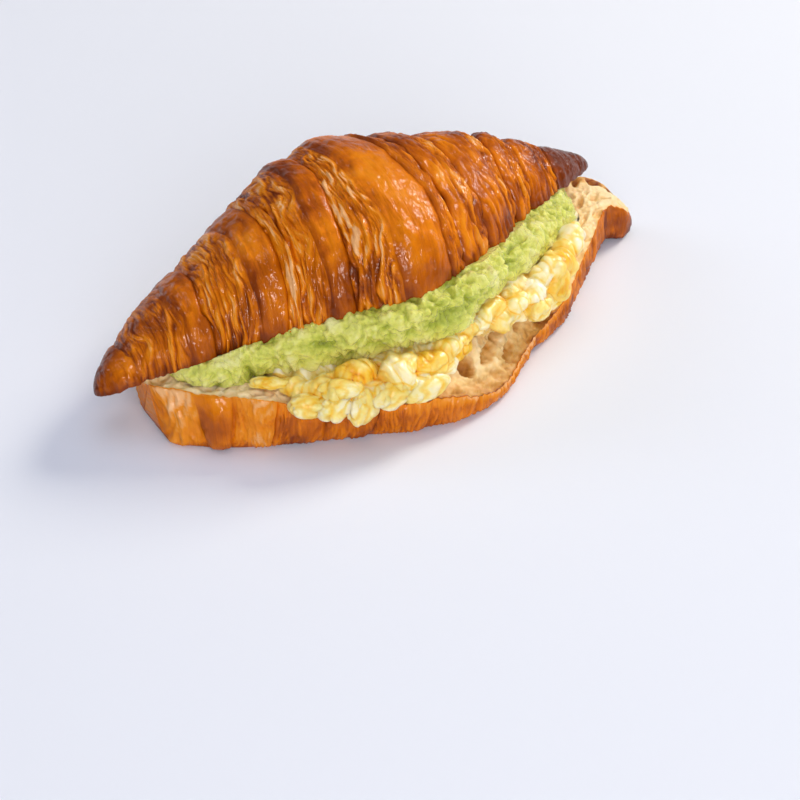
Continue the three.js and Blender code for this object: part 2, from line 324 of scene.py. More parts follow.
def baked_crust(colours):
    """Egg-washed laminated pastry, baked: the wash gives a glossy amber skin over flaky layers.
    The bake mark of the mesh goes from pale dough to dark brown; layers mark the cut edges."""
    material, tree, shader = new_material("Egg-washed baked pastry crust", {
        "IOR": 1.22, "Specular IOR Level": 0.1, "Coat Weight": 0.48, "Coat Roughness": 0.14,
        "Coat IOR": 1.45})
    surface = add_node(tree, "ShaderNodeUVMap", uv_map="surface")
    place = add_node(tree, "ShaderNodeTexCoord", out="Object")
    bake = add_node(tree, "ShaderNodeAttribute", out="Fac", attribute_name="bake")
    layers = add_node(tree, "ShaderNodeAttribute", out="Fac", attribute_name="layers")

    patterns = {}
    for name, source, scale, inputs in (
            # threads of dough 0.5 mm apart and 9 mm long, strands 1.1 mm apart and 17 mm long
            ("thread", surface, (1900, 110, 1), {"Detail": 3.0, "Distortion": 0.6}),
            ("strand", surface, (880, 58, 1), {"Detail": 4.0, "Roughness": 0.62, "Distortion": 0.9}),
            # mottling of the wash, about 3 mm, oven browning in patches of about 12 mm, and specks
            ("mottle", place, (330, 330, 330), {"Detail": 4.0}),
            ("patch", place, (85, 85, 85), {"Detail": 2.0, "Roughness": 0.4}),
            ("speck", place, (1500, 1500, 1500), {"Detail": 3.0, "Roughness": 0.6}),
            # the wash dried in wrinkles of about 3 by 5 mm
            ("pool", surface, (360, 190, 1), {"Detail": 1.5, "Distortion": 0.5})):
        stretched = add_node(tree, "ShaderNodeMapping", {"Vector": source, "Scale": scale})
        patterns[name] = add_node(tree, "ShaderNodeTexNoise",
                                  {"Vector": stretched, "Scale": 1.0, **inputs})
    thread, strand, mottle, patch, speck, pool = patterns.values()

    # fibres show most on the cut layers
    fibres = add_node(tree, "ShaderNodeMapRange", {"Value": layers, "To Min": 0.08, "To Max": 0.48})
    tone = toned(tree, bake, (thread, fibres), (strand, fibres), (fibres, -1.0), (mottle, 0.15),
                 (patch, 0.42), (speck, 0.08), (1.0, -0.325))
    add_node(tree, "ShaderNodeValToRGB", {"Fac": tone}, to=shader.inputs["Base Color"], stops=[
        (0.0, colours.pale), (0.2, colours.golden), (0.4, colours.amber), (0.58, colours.deep),
        (0.78, colours.brown), (1.0, colours.dark)])

    # the wash is glossier where it pooled on the skins than on the cut layers
    gloss = add_node(tree, "ShaderNodeMapRange", {"Value": layers, "To Min": 0.30, "To Max": 0.52})
    add_node(tree, "ShaderNodeMath", {0: mottle, 1: 0.24, 2: gloss}, operation="MULTIPLY_ADD",
             to=shader.inputs["Roughness"])

    dough = toned(tree, 0.0, (strand, fibres), (thread, fibres), (pool, 0.9))
    add_node(tree, "ShaderNodeBump", {"Height": dough, "Strength": 1.0, "Distance": 0.0010},
             to=shader.inputs["Normal"])
    wash = add_node(tree, "ShaderNodeMath", {0: mottle, 1: 0.5, 2: pool}, operation="MULTIPLY_ADD")
    add_node(tree, "ShaderNodeBump", {"Height": wash, "Strength": 1.0, "Distance": 0.0013},
             to=shader.inputs["Coat Normal"])
    return material


def open_crumb(colours):
    """Inside of laminated pastry: cream, airy and matt, with toasted edges at its rim and webs round
    its holes, and painted shade in the holes from the bake mark.
    """
    material, tree, shader = new_material("Open pastry crumb", {
        "Roughness": 0.62, "Specular IOR Level": 0.35, "Subsurface Weight": 0.25,
        "Subsurface Radius": (1.0, 0.7, 0.4), "Subsurface Scale": 0.002})
    place = add_node(tree, "ShaderNodeTexCoord", out="Object")
    bake = add_node(tree, "ShaderNodeAttribute", out="Fac", attribute_name="bake")
    # grains of 2 mm and less, buttery patches of 9 mm
    mottle = add_node(tree, "ShaderNodeTexNoise", {"Vector": place, "Scale": 420.0, "Detail": 5.0,
                                                   "Roughness": 0.6})
    patch = add_node(tree, "ShaderNodeTexNoise", {"Vector": place, "Scale": 110.0, "Detail": 2.0})
    # webs between bubbles, 1 to 2 mm across
    web = add_node(tree, "ShaderNodeTexVoronoi", {"Vector": place, "Scale": 620.0},
                   feature="SMOOTH_F1")
    tone = toned(tree, bake, (mottle, 0.34), (patch, 0.2), (web, 0.30), (1.0, -0.37))
    add_node(tree, "ShaderNodeValToRGB", {"Fac": tone}, to=shader.inputs["Base Color"], stops=[
        (0.0, colours.crumb), (0.32, colours.crumb_shade), (0.62, colours.toast),
        (1.0, colours.brown)])
    height = add_node(tree, "ShaderNodeMath", {0: web, 1: 0.8, 2: mottle}, operation="MULTIPLY_ADD")
    add_node(tree, "ShaderNodeBump", {"Height": height, "Strength": 0.7, "Distance": 0.0008},
             to=shader.inputs["Normal"])
    return material


def mashed_flesh(colours):
    """Avocado flesh crushed with a fork: wet, grainy and slightly see-through, yellow-green with
    greener lumps."""
    material, tree, shader = new_material("Fork-mashed avocado flesh", {
        "Roughness": 0.34, "IOR": 1.36, "Coat Weight": 1.0, "Coat Roughness": 0.06,
        "Subsurface Weight": 0.3, "Subsurface Radius": (0.8, 1.0, 0.25), "Subsurface Scale": 0.003})
    place = add_node(tree, "ShaderNodeTexCoord", out="Object")
    hollow_shade = add_node(tree, "ShaderNodeAttribute", out="Fac", attribute_name="hollow_shade")
    # greener lumps of 6 mm, pulp of 1 mm
    lump = add_node(tree, "ShaderNodeTexNoise", {"Vector": place, "Scale": 170.0, "Detail": 3.0})
    pulp = add_node(tree, "ShaderNodeTexNoise", {"Vector": place, "Scale": 900.0, "Detail": 4.0,
                                                 "Roughness": 0.65})
    # painted shade: the hollow mark makes the hollows between lumps deeper green and the lumps' tops
    # paler
    tone = toned(tree, hollow_shade, (lump, 0.9), (pulp, 0.45), (1.0, -0.45))
    add_node(tree, "ShaderNodeValToRGB", {"Fac": tone}, to=shader.inputs["Base Color"], stops=[
        (0.0, colours.cream), (0.3, colours.light), (0.6, colours.green), (1.0, colours.shade)])
    grain = add_node(tree, "ShaderNodeBump", {"Height": pulp, "Strength": 1.0, "Distance": 0.0010},
                     to=shader.inputs["Normal"])
    # juice beads of about 0.8 mm
    bead = add_node(tree, "ShaderNodeTexNoise", {"Vector": place, "Scale": 1250.0, "Detail": 1.0})
    add_node(tree, "ShaderNodeBump", {"Height": bead, "Strength": 1.0, "Distance": 0.0018,
                                      "Normal": grain}, to=shader.inputs["Coat Normal"])
    return material


def soft_curd(colours):
    """Scrambled egg, softly set: moist and smooth, pale yellow with white and deep yellow parts."""
    material, tree, shader = new_material("Soft scrambled egg curd", {
        "Roughness": 0.38, "IOR": 1.4, "Coat Weight": 0.08, "Coat Roughness": 0.15,
        "Subsurface Weight": 0.45, "Subsurface Radius": (1.0, 0.8, 0.4), "Subsurface Scale": 0.004})
    place = add_node(tree, "ShaderNodeTexCoord", out="Object")
    yolk = add_node(tree, "ShaderNodeAttribute", out="Fac", attribute_name="yolk")
    # yolk and white stirred in patches of 8 mm, and a skin with a grain of 1.4 mm
    patch = add_node(tree, "ShaderNodeTexNoise", {"Vector": place, "Scale": 120.0, "Detail": 2.0,
                                                  "Distortion": 0.8})
    fine = add_node(tree, "ShaderNodeTexNoise", {"Vector": place, "Scale": 700.0, "Detail": 4.0})
    tone = toned(tree, yolk, (patch, 0.8), (fine, 0.2), (1.0, -0.40))
    # the yolk mark also carries painted shade in the creases, shown by the deep yellow and crease stops
    add_node(tree, "ShaderNodeValToRGB", {"Fac": tone}, to=shader.inputs["Base Color"], stops=[
        (0.0, colours.white), (0.3, colours.pale), (0.62, colours.yellow), (0.85, colours.yolk),
        (1.0, colours.crease)])
    add_node(tree, "ShaderNodeBump", {"Height": fine, "Strength": 0.35, "Distance": 0.0006},
             to=shader.inputs["Normal"])
    return material


# ---------------------------------------------------------------- wraps of rolled dough

# Kinds of wrap
SKIN, CUT, TIP, FOLD = range(4)


def wrap_columns(edges, density, ease_poles):
    """Columns of a loft along the croissant: for each wrap a number of columns by its length, with
    the wrap's number and the share of it passed. At the two ends they gather to the pole."""
    wrap, share = [], []
    last = len(edges) - 2
    for k in range(len(edges) - 1):
        count = max(4, int(round((edges[k + 1, 1] - edges[k, 1]) * density[k])))
        t = np.arange(count) / count
        if k == 0:
            t = t ** ease_poles
        if k == last:
            t = 1 - (1 - t) ** ease_poles
        wrap += [k] * count
        share += t.tolist()
    return np.array(wrap + [last]), np.array(share + [1.0])


def strands(across, along, seed):
    """Torn leaves of dough side by side, one in each unit of across: each rises out of a crease as
    sin(pi t^0.6), t being the place across it, and swells and dies away along its length by noise."""
    number = np.floor(across)
    swell = ease(-0.6, 0.4, noise(along, 3.7 * number, 0, seed))
    return swell * np.sin(math.pi * (across - number) ** 0.6)


# Sets of leaves, wide, crossing and slim: their slope against the wrap, their spacing as a part of
# the wrap's own, their length in that spacing, and a seed
LEAVES = ((0.15, 1.0, 4.2, 17), (-0.06, 0.62, 3.2, 19), (0.04, 0.25, 1.6, 21))


def relief_of_wraps(spec, wrap, share, along, around, calm, blend, settings):
    """Height, lean along the croissant, bake mark and layers mark of rolled, layered dough.

    Each wrap has an outward share, 0 on the side of the crown and 1 towards the tip. A smooth skin
    rises out of a groove as its power 0.35 and stays level. A cut edge falls in line with it to the
    next skin. On both lie torn leaves of dough, strong on cut edges: the higher of two sets of
    strands that cross at a small angle, bent by noise so that they part and meet, with slim ones on
    them. Backs are pale in places and they lean to the tip. The creases between them are darkened
    as painted shade.
    calm scales the leaves, and a wrap's tone blends into its neighbours' over the share blend."""
    step_size, ridge_size = settings.step / MM, settings.ridge / MM
    own = {name: values[wrap][:, None] for name, values in spec.items()}
    kind, spacing = own["kind"], own["spacing"]
    side = np.where(own["middle"] < CROWN, -1.0, 1.0)
    share = share[:, None]
    outer = np.where(side < 0, 1 - share, share)
    number = wrap[:, None] * 1.0
    step = own["step"] * step_size * (0.85 + 0.45 * noise(around / 21, own["pair"] * 3.7, 0, 5))
    cut = (kind == CUT) | (kind == FOLD)

    bent = side * along + 0.8 * noise(around / 6, along / 2.4, number, 9)
    bent = bent + 2.2 * noise(around / 14, along / 6, number, 11)
    wide, crossing, slim = (
        strands((bent + slope * around) / (part * spacing), around / (length * spacing), seed)
        for slope, part, length, seed in LEAVES)
    crest = np.maximum(wide, 0.8 * crossing) + 0.3 * slim
    fade = ease(0, 0.12, outer) * (1 - 0.5 * ease(0.88, 1.0, outer))
    ridge = ridge_size * own["relief"] * fade * calm

    skin_rise = step * (np.clip(outer, 0, 1) ** 0.35 - 0.5) - 0.3 * step * ease(0.8, 1, outer)
    level = np.where(cut, step * (0.2 - 0.7 * outer), skin_rise)
    level = np.where(kind == TIP, step * (0.35 - 0.9 * ease(0.25, 0.0, outer)), level)
    height = level + 1.6 * ridge * (crest - 0.6)
    # a groove undercuts the foot of every cut edge, where it meets the next skin
    groove = np.where(cut, ease(0.84, 1.0, outer), ease(0.10, 0.0, outer) * (kind != TIP))
    height = height - 0.45 * step_size * groove
    lean = side * (0.6 * ridge * crest + np.where(cut, 0.35, -0.25) * step_size * groove)

    # broad swellings, dimples of about 2 by 4 mm, wrinkles and a few blisters, most on the skins
    swell = 0.36 * rough(along / 11, around / 17, number * 1.3, 23, 2)
    dimple = domes((along / 2.1, around / 4.2, number * 5.3), 1.0, 7.0, 29)
    wrinkle = 0.10 * rough(along / 1.1, around / 2.6, number, 31, 2)
    spot, lot = cells(np.stack(np.broadcast_arrays(along, around, 0.0), -1), 2.6, 7)
    blister = np.clip(1 - (spot / 0.42) ** 2, 0, 1) * (lot > 0.74)
    height = height + swell + wrinkle + np.where(cut, 0.10, 0.22) * (dimple - 0.5)
    height = height + np.where(cut, 0.03, 0.2) * blister

    tone = np.pad(spec["bake"], 1, "edge")
    before, here, after = (tone[wrap + k][:, None] for k in range(3))
    bake = here + 0.5 * (ease(blend, 0, share) * (before - here)
                         + ease(1 - blend, 1, share) * (after - here))
    lit = ease(-0.5, 0.3, noise(bent / (1.8 * spacing), around / (6 * spacing), number, 27))
    bake = bake - 0.66 * own["pale"] * fade * lit * ease(0.3, 0.95, crest)
    # painted shade: darker in the creases between leaves
    bake = bake + (0.03 + 0.08 * cut) * fade * ease(0.4, 0.0, crest)
    bake = bake + 0.16 * rough(along / 8, around / 11, number * 0.7, 41, 3)
    # painted shade: darker at the outer edge of each skin where it rounds over, in the grooves, and in
    # the low parts between dimples
    bake = bake + np.where(cut, 0.0, 0.16) * ease(0.6, 1.0, outer) + 0.16 * groove
    bake = bake - 0.08 * blister + np.where(cut, 0.0, 0.05) * (0.5 - dimple)
    layers = np.where(cut, ease(0.0, 0.15, outer), 0.1) + 0 * height
    return height, lean, bake, layers


def wrap_spec(table, positions):
    """Turns the rows of a wrap table into arrays, one number for each wrap."""
    names = ("kind", "spacing", "step", "relief", "pale", "bake")
    spec = {name: np.array([row[k] for row in table], float) for k, name in enumerate(names)}
    spec["middle"] = (positions[:-1, 1] + positions[1:, 1]) / 2
    spec["pair"] = np.cumsum(spec["kind"] == SKIN).astype(float)
    return spec


# ---------------------------------------------------------------- top half of the croissant

# Half the ridge's length. Then, from -1 to 1 along it, how far the crust reaches from it to the
# front and to the back, and how high it stands.
LID_HALF = 84.0
LID_FRONT = ((-0.95, 20), (-0.7, 21.5), (-0.45, 25), (-0.2, 31.5), (0.05, 42), (0.3, 36.5),
             (0.55, 27), (0.95, 18.5))
LID_BACK = ((-0.95, 23), (-0.7, 27.5), (-0.45, 30.2), (-0.2, 35.2), (0.05, 39), (0.3, 36.2),
            (0.55, 28), (0.95, 18.5))
LID_HEIGHT = ((-0.95, 16), (-0.7, 18.4), (-0.45, 22.8), (-0.2, 28.5), (0.05, 29.8), (0.3, 25.8),
              (0.55, 22.5), (0.95, 14))
# how far, along the ridge, a ring's front edge lies to the left of its crest
LID_SLANT = ((-84, 2.5), (-54.5, 4.5), (-27, 8), (-4.5, 8), (18, 4.5), (32, 1), (50, 2), (84, 3.5))
# how far the ellipse goes on below its middle, the ridge bows to the front, and each tip droops
LID_BELOW, LID_BOW, LID_DROOP = 1.5, -2.2, (-9.6, -5.4)
# how far the front edge hangs down over the filling, along the ridge
LID_LIP = ((-84, 0), (-70, 0.5), (-50, 2.1), (-20, 2.2), (10, 1.5), (40, 1.0), (70, 0.2), (84, 0))
# how the top half is turned, in degrees about X, Y and Z, and where it lies
LID_TURN, LID_AT = (-15.9, -2.0, 2.5), (-12.7, 4.4, 25.7)
# Points across its cut face, how the crust's points gather at the front edge, and the rings at
# the poles. CROWN is the place of the widest wrap, from which the others step down to the tips.
LID_CUT_POINTS, LID_GATHER, LID_POLE_GATHER = 20, 1.1, 1.7
CROWN = 8.0

# Where each wrap starts along the ridge, at 0, 45, 90 and 135 degrees round from the front edge,
# then its kind, the spacing of its leaves in mm, step, relief, paleness and bake.
LID_WRAPS = (
    ((-84, -84, -84, -84), TIP, 2.4, 0.7, 0.45, 0.30, 0.67),
    ((-72, -73, -74, -74), CUT, 2.2, 0.8, 0.85, 0.50, 0.56),
    ((-57.5, -57.5, -57.5, -58), SKIN, 3.0, 1.0, 0.30, 0.10, 0.57),
    ((-50.5, -51, -50.5, -51), CUT, 2.4, 1.2, 1.10, 0.80, 0.53),
    ((-36.5, -36.5, -37, -39), SKIN, 3.4, 1.2, 0.22, 0.10, 0.52),
    ((-28, -28, -28.5, -31), FOLD, 2.9, 1.3, 0.95, 0.76, 0.48),
    ((-23.5, -23.5, -26, -29), CUT, 2.4, 1.2, 1.10, 0.90, 0.53),
    ((-16.5, -17, -16, -18), SKIN, 3.0, 1.5, 0.30, 0.10, 0.57),
    ((-10.5, -10, -9, -9), CUT, 1.9, 1.4, 1.20, 0.95, 0.53),
    ((0.5, -0.5, -3, -3), SKIN, 5.0, 1.4, 0.16, 0.05, 0.37),
    ((14.5, 15, 13, 12), CUT, 2.2, 1.2, 0.90, 0.45, 0.60),
    ((19, 19, 19, 20), SKIN, 2.2, 1.0, 0.60, 0.40, 0.58),
    ((23, 23.5, 25, 27), CUT, 2.0, 1.0, 1.05, 0.65, 0.58),
    ((28, 28, 30, 34), SKIN, 2.6, 1.1, 0.55, 0.35, 0.57),
    ((39, 39, 42, 46), CUT, 2.2, 1.1, 1.10, 0.90, 0.58),
    ((44, 44, 47, 52), SKIN, 2.2, 0.9, 0.60, 0.35, 0.59),
    ((48, 48, 52, 57), CUT, 2.0, 1.0, 1.05, 0.80, 0.56),
    ((52.5, 53, 57, 61), SKIN, 2.4, 0.9, 0.55, 0.30, 0.60),
    ((61, 61, 63, 66), CUT, 2.0, 0.9, 0.80, 0.60, 0.60),
    ((66, 66, 69, 71), TIP, 4.0, 0.8, 0.20, 0.05, 0.94),
    ((84, 84, 84, 84), TIP, 1, 0, 0, 0, 0),
)


def turned(points, degrees):
    """Points turned about X, then Y, then Z."""
    for axis, angle in enumerate(degrees):
        c, s = math.cos(math.radians(angle)), math.sin(math.radians(angle))
        a, b = (axis + 1) % 3, (axis + 2) % 3
        moved = points.copy()
        moved[..., a] = c * points[..., a] - s * points[..., b]
        moved[..., b] = s * points[..., a] + c * points[..., b]
        points = moved
    return points


def lid_droop(ridge):
    """How far each tip droops."""
    return np.where(ridge < 0, *LID_DROOP)


def lid_shell(ridge, angle):
    """Smooth crust of the top half in its own frame: half an ellipse over the cut, whose two reaches
    and height follow the place along the ridge and close as a circle does at the tips. angle is
    in radians, from the front edge over the ridge to the back edge."""
    share = np.clip(np.abs(ridge) / LID_HALF, 0, 1)
    closing = np.sqrt(1 - share ** 2)
    place = ridge / LID_HALF
    front, back, high = (through(knots)(place) for knots in (LID_FRONT, LID_BACK, LID_HEIGHT))
    reach = closing * np.where(np.cos(angle) > 0, front, back)
    down = 1 - angle * 2 / math.pi
    droop = lid_droop(ridge) * share ** 2
    return np.stack([
        ridge - through(LID_SLANT)(ridge) * down * closing,
        -np.cos(angle) * reach + LID_BOW * (1 - share ** 2),
        np.sin(angle) * closing * high + closing * LID_BELOW + droop,
    ], -1)


def lid_edges(angle):
    """Places of the wraps' edges at each angle round the croissant, wandering a little."""
    degrees = np.degrees(angle)
    edges = []
    for k, row in enumerate(LID_WRAPS):
        a, b, c, d = row[0]
        path = through(((-10, a), (0, a), (45, b), (90, c), (135, d), (190, 2 * d - c)))(degrees)
        if 0 < k < len(LID_WRAPS) - 1:
            path = path + 0.9 * rough(degrees / 30, k * 5.1, 0, 51, 3)
        edges.append(path)
    return np.array(edges)


def build_top_half(settings, shift):
    """Grid of the top half: the shell of lid_shell moved along its normals by the relief of the
    wraps, and below it a cut face from the back edge to the front edge with small open bubbles."""
    order = np.linspace(0, 1, settings.around) ** LID_GATHER
    positions = np.array([row[0][:2] for row in LID_WRAPS], float)
    density = [settings.fine if row[1] in (CUT, FOLD) else settings.coarse for row in LID_WRAPS]
    wrap, share = wrap_columns(positions, density, LID_POLE_GATHER)
    ridge_line = positions[wrap, 1] * (1 - share) + positions[wrap + 1, 1] * share
    closing = np.sqrt(1 - np.clip(np.abs(ridge_line) / LID_HALF, 0, 1) ** 2)
    high = closing * through(LID_HEIGHT)(ridge_line / LID_HALF)
    # the edges lie where the ellipse meets the cut
    start = -np.arcsin(np.clip(closing * LID_BELOW / np.maximum(high, 0.01), 0, 1))[:, None]
    angle = start + (math.pi - 2 * start) * order
    edges = lid_edges(math.pi * order)
    ridge = edges[wrap] * (1 - share[:, None]) + edges[wrap + 1] * share[:, None]
    ridge = np.clip(ridge, -LID_HALF, LID_HALF)
    shell = lid_shell(ridge, angle)
    normal = facing(outward(shell, False), shell - [0, 0, -5])
    around = running_length(shell)
    degrees = np.degrees(angle)
    spec = wrap_spec([row[1:] for row in LID_WRAPS[:-1]], positions)
    height, lean, bake, layers = relief_of_wraps(
        spec, wrap, share, ridge, around, calm=1 - 0.5 * ease(62, 100, degrees), blend=0.25,
        settings=settings)
    uneven = 0.9 * rough(*(shell[..., k] / 27 for k in range(3)), 61, 2)
    soft = np.sqrt(closing)[:, None]
    crust = shell + normal * (soft * (height + uneven - 0.4))[..., None]
    crust[..., 0] += soft * lean
    # both edges are ragged, the front one hangs over the filling, and they brown more
    edge = 1 - ease(0, 16, np.degrees(angle - start))
    back_edge = 1 - ease(0, 16, np.degrees(math.pi - start - angle))
    crust[..., 2] += soft * (edge + back_edge) * (0.9 * rough(ridge / 3.1, 0, 0, 67, 3))
    crust[..., 2] -= through(LID_LIP)(ridge) * ease(32, 0, degrees)
    bake = bake + 0.14 * edge + 0.1 * back_edge + 0.08 * ease(38, 8, degrees)
    bake = bake + 0.14 * ease(55, 105, degrees) + 0.04 * ease(60, 80, ridge)
    bake = np.minimum(bake, 0.84 + 0.1 * ease(60, 70, ridge))

    across = (np.arange(LID_CUT_POINTS) + 1) / (LID_CUT_POINTS + 1)
    across = (across + 0.12 * np.sin(2 * math.pi * across))[None, :, None]
    cut = crust[:, -1:] * (1 - across) + crust[:, :1] * across
    near, lot = cells(cut * (1, 1, 0), 5.5, 71)
    bubble = np.clip(1 - (near / 0.55) ** 2, 0, 1) * (lot > 0.35)
    inside = ease(0, 0.1, across[..., 0]) * ease(1, 0.9, across[..., 0]) * soft
    cut[..., 2] += inside * (1.6 * bubble + 0.3)
    # the cut face is darker in its bubbles: painted shade
    cut_bake = np.where(inside > 0.5, 0.12 + 0.25 * bubble, 0.7)
    grid = turned(np.concatenate([crust, cut], 1), LID_TURN) + np.array(LID_AT) + shift
    values = {"bake": np.concatenate([bake, cut_bake], 1),
              "layers": np.concatenate([layers, 0 * cut_bake], 1)}
    # the cut's points stand about 3 mm apart
    around = np.concatenate([around, around[:, -1:] + np.arange(LID_CUT_POINTS + 1) * 3.0], 1)
    along = np.concatenate([ridge, np.repeat(ridge[:, -1:], LID_CUT_POINTS + 1, 1)], 1)
    finish = np.repeat((0, 1), (settings.around - 1, LID_CUT_POINTS + 1))
    return grid, values, along, around, finish


# ---------------------------------------------------------------- bottom half of the croissant

# Its ends, and where the left end of its CAD solid stands. Then, along it, the middle line and how
# far the widest lines lie to the front and to the back of that.
BASE_ENDS = (-83.0, 83.0)
BASE_CAD_LEFT = -82.0
BASE_MIDDLE = ((-83, -8), (-54.5, -8.5), (-23, -12), (0, -13), (27, -7.5), (54.5, 0), (73, 2),
               (83, 0.5))
BASE_FRONT = ((-83, 12), (-78, 15.2), (-70, 21.4), (-60, 26.8), (-47, 31.3), (-36, 34.6), (-24, 38.6),
              (-10, 40), (-1, 39.6), (6, 38), (14.5, 33.6), (23, 30.6), (32, 29), (40, 26.8), (50, 21.8),
              (60, 16.2), (68, 10.4), (73, 8.5), (78, 10.5), (83, 10))
BASE_BACK = ((-83, 14), (-76, 19), (-58, 23.5), (-32, 33.5), (0, 41), (27, 33.5), (50, 22), (73, 8.5),
             (83, 7))
# heights of the front rim, of the plateau behind it and of the back rim, and between which shares
# of the width the plateau is level
BASE_RIM = ((-83, 16.5), (-64, 17), (-57, 16), (-50, 13.6), (-27, 11.5), (-13.5, 10), (-2, 6), (8, 5),
            (22.5, 6.5), (36.5, 9), (54.5, 12.5), (68, 15), (83, 13))
BASE_PLATEAU, BASE_LEVEL = 16.5, (0.17, 0.55)
BASE_BACK_RIM = ((-83, 13), (40, 14), (60, 17), (77, 17.5), (83, 15.5))
# how far the rim stands back from the widest line; the left end leans back most
BASE_LEAN = ((-83, 9), (-78, 8), (-74, 6), (-68.5, 4.6), (-61, 2.6), (-55, 1.4), (83, 1.4))
# each end: lengths over which its plan and its height close, how bluntly, and the pole's height as
# a part of the rim's
BASE_ROUND, BASE_TALL, BASE_BLUNT, BASE_POLE = (4.5, 15.0), (1.6, 15.0), (3.0, 2.2), (0.93, 0.12)
# how far the foot stands in, how far the back rim leans, and how round the walls are
BASE_FOOT, BASE_BACK_LEAN, BASE_BELLY = 3.4, 1.4, 0.85
# arch under the right end: place, width and height
BASE_ARCH = (69.0, 5.0, 2.0)
# round folds of the wall: place, width and height
BASE_BULGES = ((-71.2, 3.2, 2.0), (-62.5, 4.5, 0.9), (-50.0, 4.0, 0.7), (-38.0, 6.0, 1.0),
               (-26.0, 5.0, 0.7), (-12.0, 5.0, 0.8))

# Parts of a ring, their points, how the rings gather at the poles, and how far the edges wander
FRONT, CUT_FACE, BACK, UNDER = range(4)
WALL_POINTS, BACK_POINTS, UNDER_POINTS = 46, 26, 14
BASE_POLE_GATHER, BASE_WANDER = 1.6, 1.1

# Where each wrap starts, at the rim and at the foot of the wall, then as in LID_WRAPS
BASE_WRAPS = (
    ((-83, -83), TIP, 1.6, 0.3, 0.90, 0.30, 0.27),
    ((-75.3, -73.3), SKIN, 2.2, 0.9, 0.20, 0.04, 0.62),
    ((-67.6, -69.2), CUT, 1.0, 0.9, 0.75, 0.22, 0.36),
    ((-57.7, -60.3), CUT, 1.2, 0.3, 0.75, 0.20, 0.52),
    ((-54, -55.6), SKIN, 1.8, 0.7, 0.60, 0.18, 0.62),
    ((-45.5, -47), SKIN, 1.6, 0.2, 0.65, 0.22, 0.58),
    ((-33, -34.5), CUT, 1.4, 0.3, 0.60, 0.26, 0.57),
    ((-19, -22), CUT, 1.5, 0.4, 0.60, 0.18, 0.48),
    ((-5, -9), CUT, 1.7, 0.3, 0.60, 0.22, 0.42),
    ((8, 6), CUT, 1.6, 0.5, 0.70, 0.25, 0.42),
    ((25, 24), SKIN, 1.8, 0.5, 0.65, 0.15, 0.60),
    ((43, 43), CUT, 1.8, 0.6, 0.85, 0.25, 0.58),
    ((62, 60), SKIN, 2.2, 0.6, 0.60, 0.10, 0.66),
    ((70, 70), TIP, 2.2, 0.6, 0.60, 0.10, 0.78),
    ((83, 83), TIP, 1, 0, 0, 0, 0),
)

# Small holes of the crumb: stretch of their cells, size of a cell in mm, seed, radius in cells, depth
# in mm, roundness, and the share of cells without one
CRUMB_HOLES = (
    ((0.45, 1.1, 0.8), 2.4, 91, 0.62, 0.9, 0.7, 0.45),
    ((0.6, 1.1, 0.9), 1.2, 95, 0.6, 0.35, 1.0, 0.4),
    ((0.5, 1.1, 0.6), 6.0, 93, 0.42, 1.6, 0.6, 0.55),
)

# Larger bubbles opened by the knife: place, width from the front rim, radii along and across, depth
BUBBLES = (
    (-4.6, 7.2, 3.0, 2.3, 5.0), (4.5, 7.2, 3.8, 1.5, 3.0), (-17.0, 4.0, 2.4, 1.2, 1.2),
    (11.0, 8.4, 3.2, 1.3, 2.6), (12.0, 4.0, 3.0, 1.2, 2.0), (19.0, 6.0, 2.4, 1.4, 2.4),
    (69.0, 15.0, 2.0, 1.5, 2.4), (74.5, 11.5, 2.8, 2.4, 2.8), (78.5, 9.0, 2.2, 1.8, 1.8),
    (64.0, 9.5, 2.6, 1.6, 2.0), (70.5, 6.5, 2.4, 1.3, 1.4), (60.0, 5.0, 2.6, 1.2, 1.4),
    (-70.0, 3.6, 2.4, 1.0, 0.9), (-60.0, 3.2, 2.8, 0.9, 0.8),
)


def end_closing(place, lengths):
    """1 along most of the bottom half, falling to 0 over a length at each end as
    sqrt(1 - (1 - t)^bluntness)."""
    left = 1 - np.clip((place - BASE_ENDS[0]) / lengths[0], 0, 1)
    right = 1 - np.clip((BASE_ENDS[1] - place) / lengths[1], 0, 1)
    return np.sqrt((1 - left ** BASE_BLUNT[0]) * (1 - right ** BASE_BLUNT[1]))


def base_section(place):
    """Front and back widest lines and end closing of the bottom half at a place."""
    closing = end_closing(place, BASE_ROUND)
    middle = through(BASE_MIDDLE)(place)
    front = middle - closing * through(BASE_FRONT)(place)
    back = middle + closing * through(BASE_BACK)(place)
    return front, back, closing


def stand(place, height):
    """Heights drawn to the pole of the nearer end, as the height closes there."""
    tall = end_closing(place, BASE_TALL)
    pole = np.where(place < 0, BASE_POLE[0], BASE_POLE[1]) * through(BASE_RIM)(place)
    return pole + (height - pole) * tall


def cut_height(place, across):
    """The cut face rises from the front rim to a plateau and falls to the back rim."""
    rim = through(BASE_RIM)(place)
    level = np.maximum(rim, BASE_PLATEAU)
    risen = rim + (level - rim) * ease(0, BASE_LEVEL[0], across)
    return risen + (through(BASE_BACK_RIM)(place) - level) * ease(BASE_LEVEL[1], 1, across)


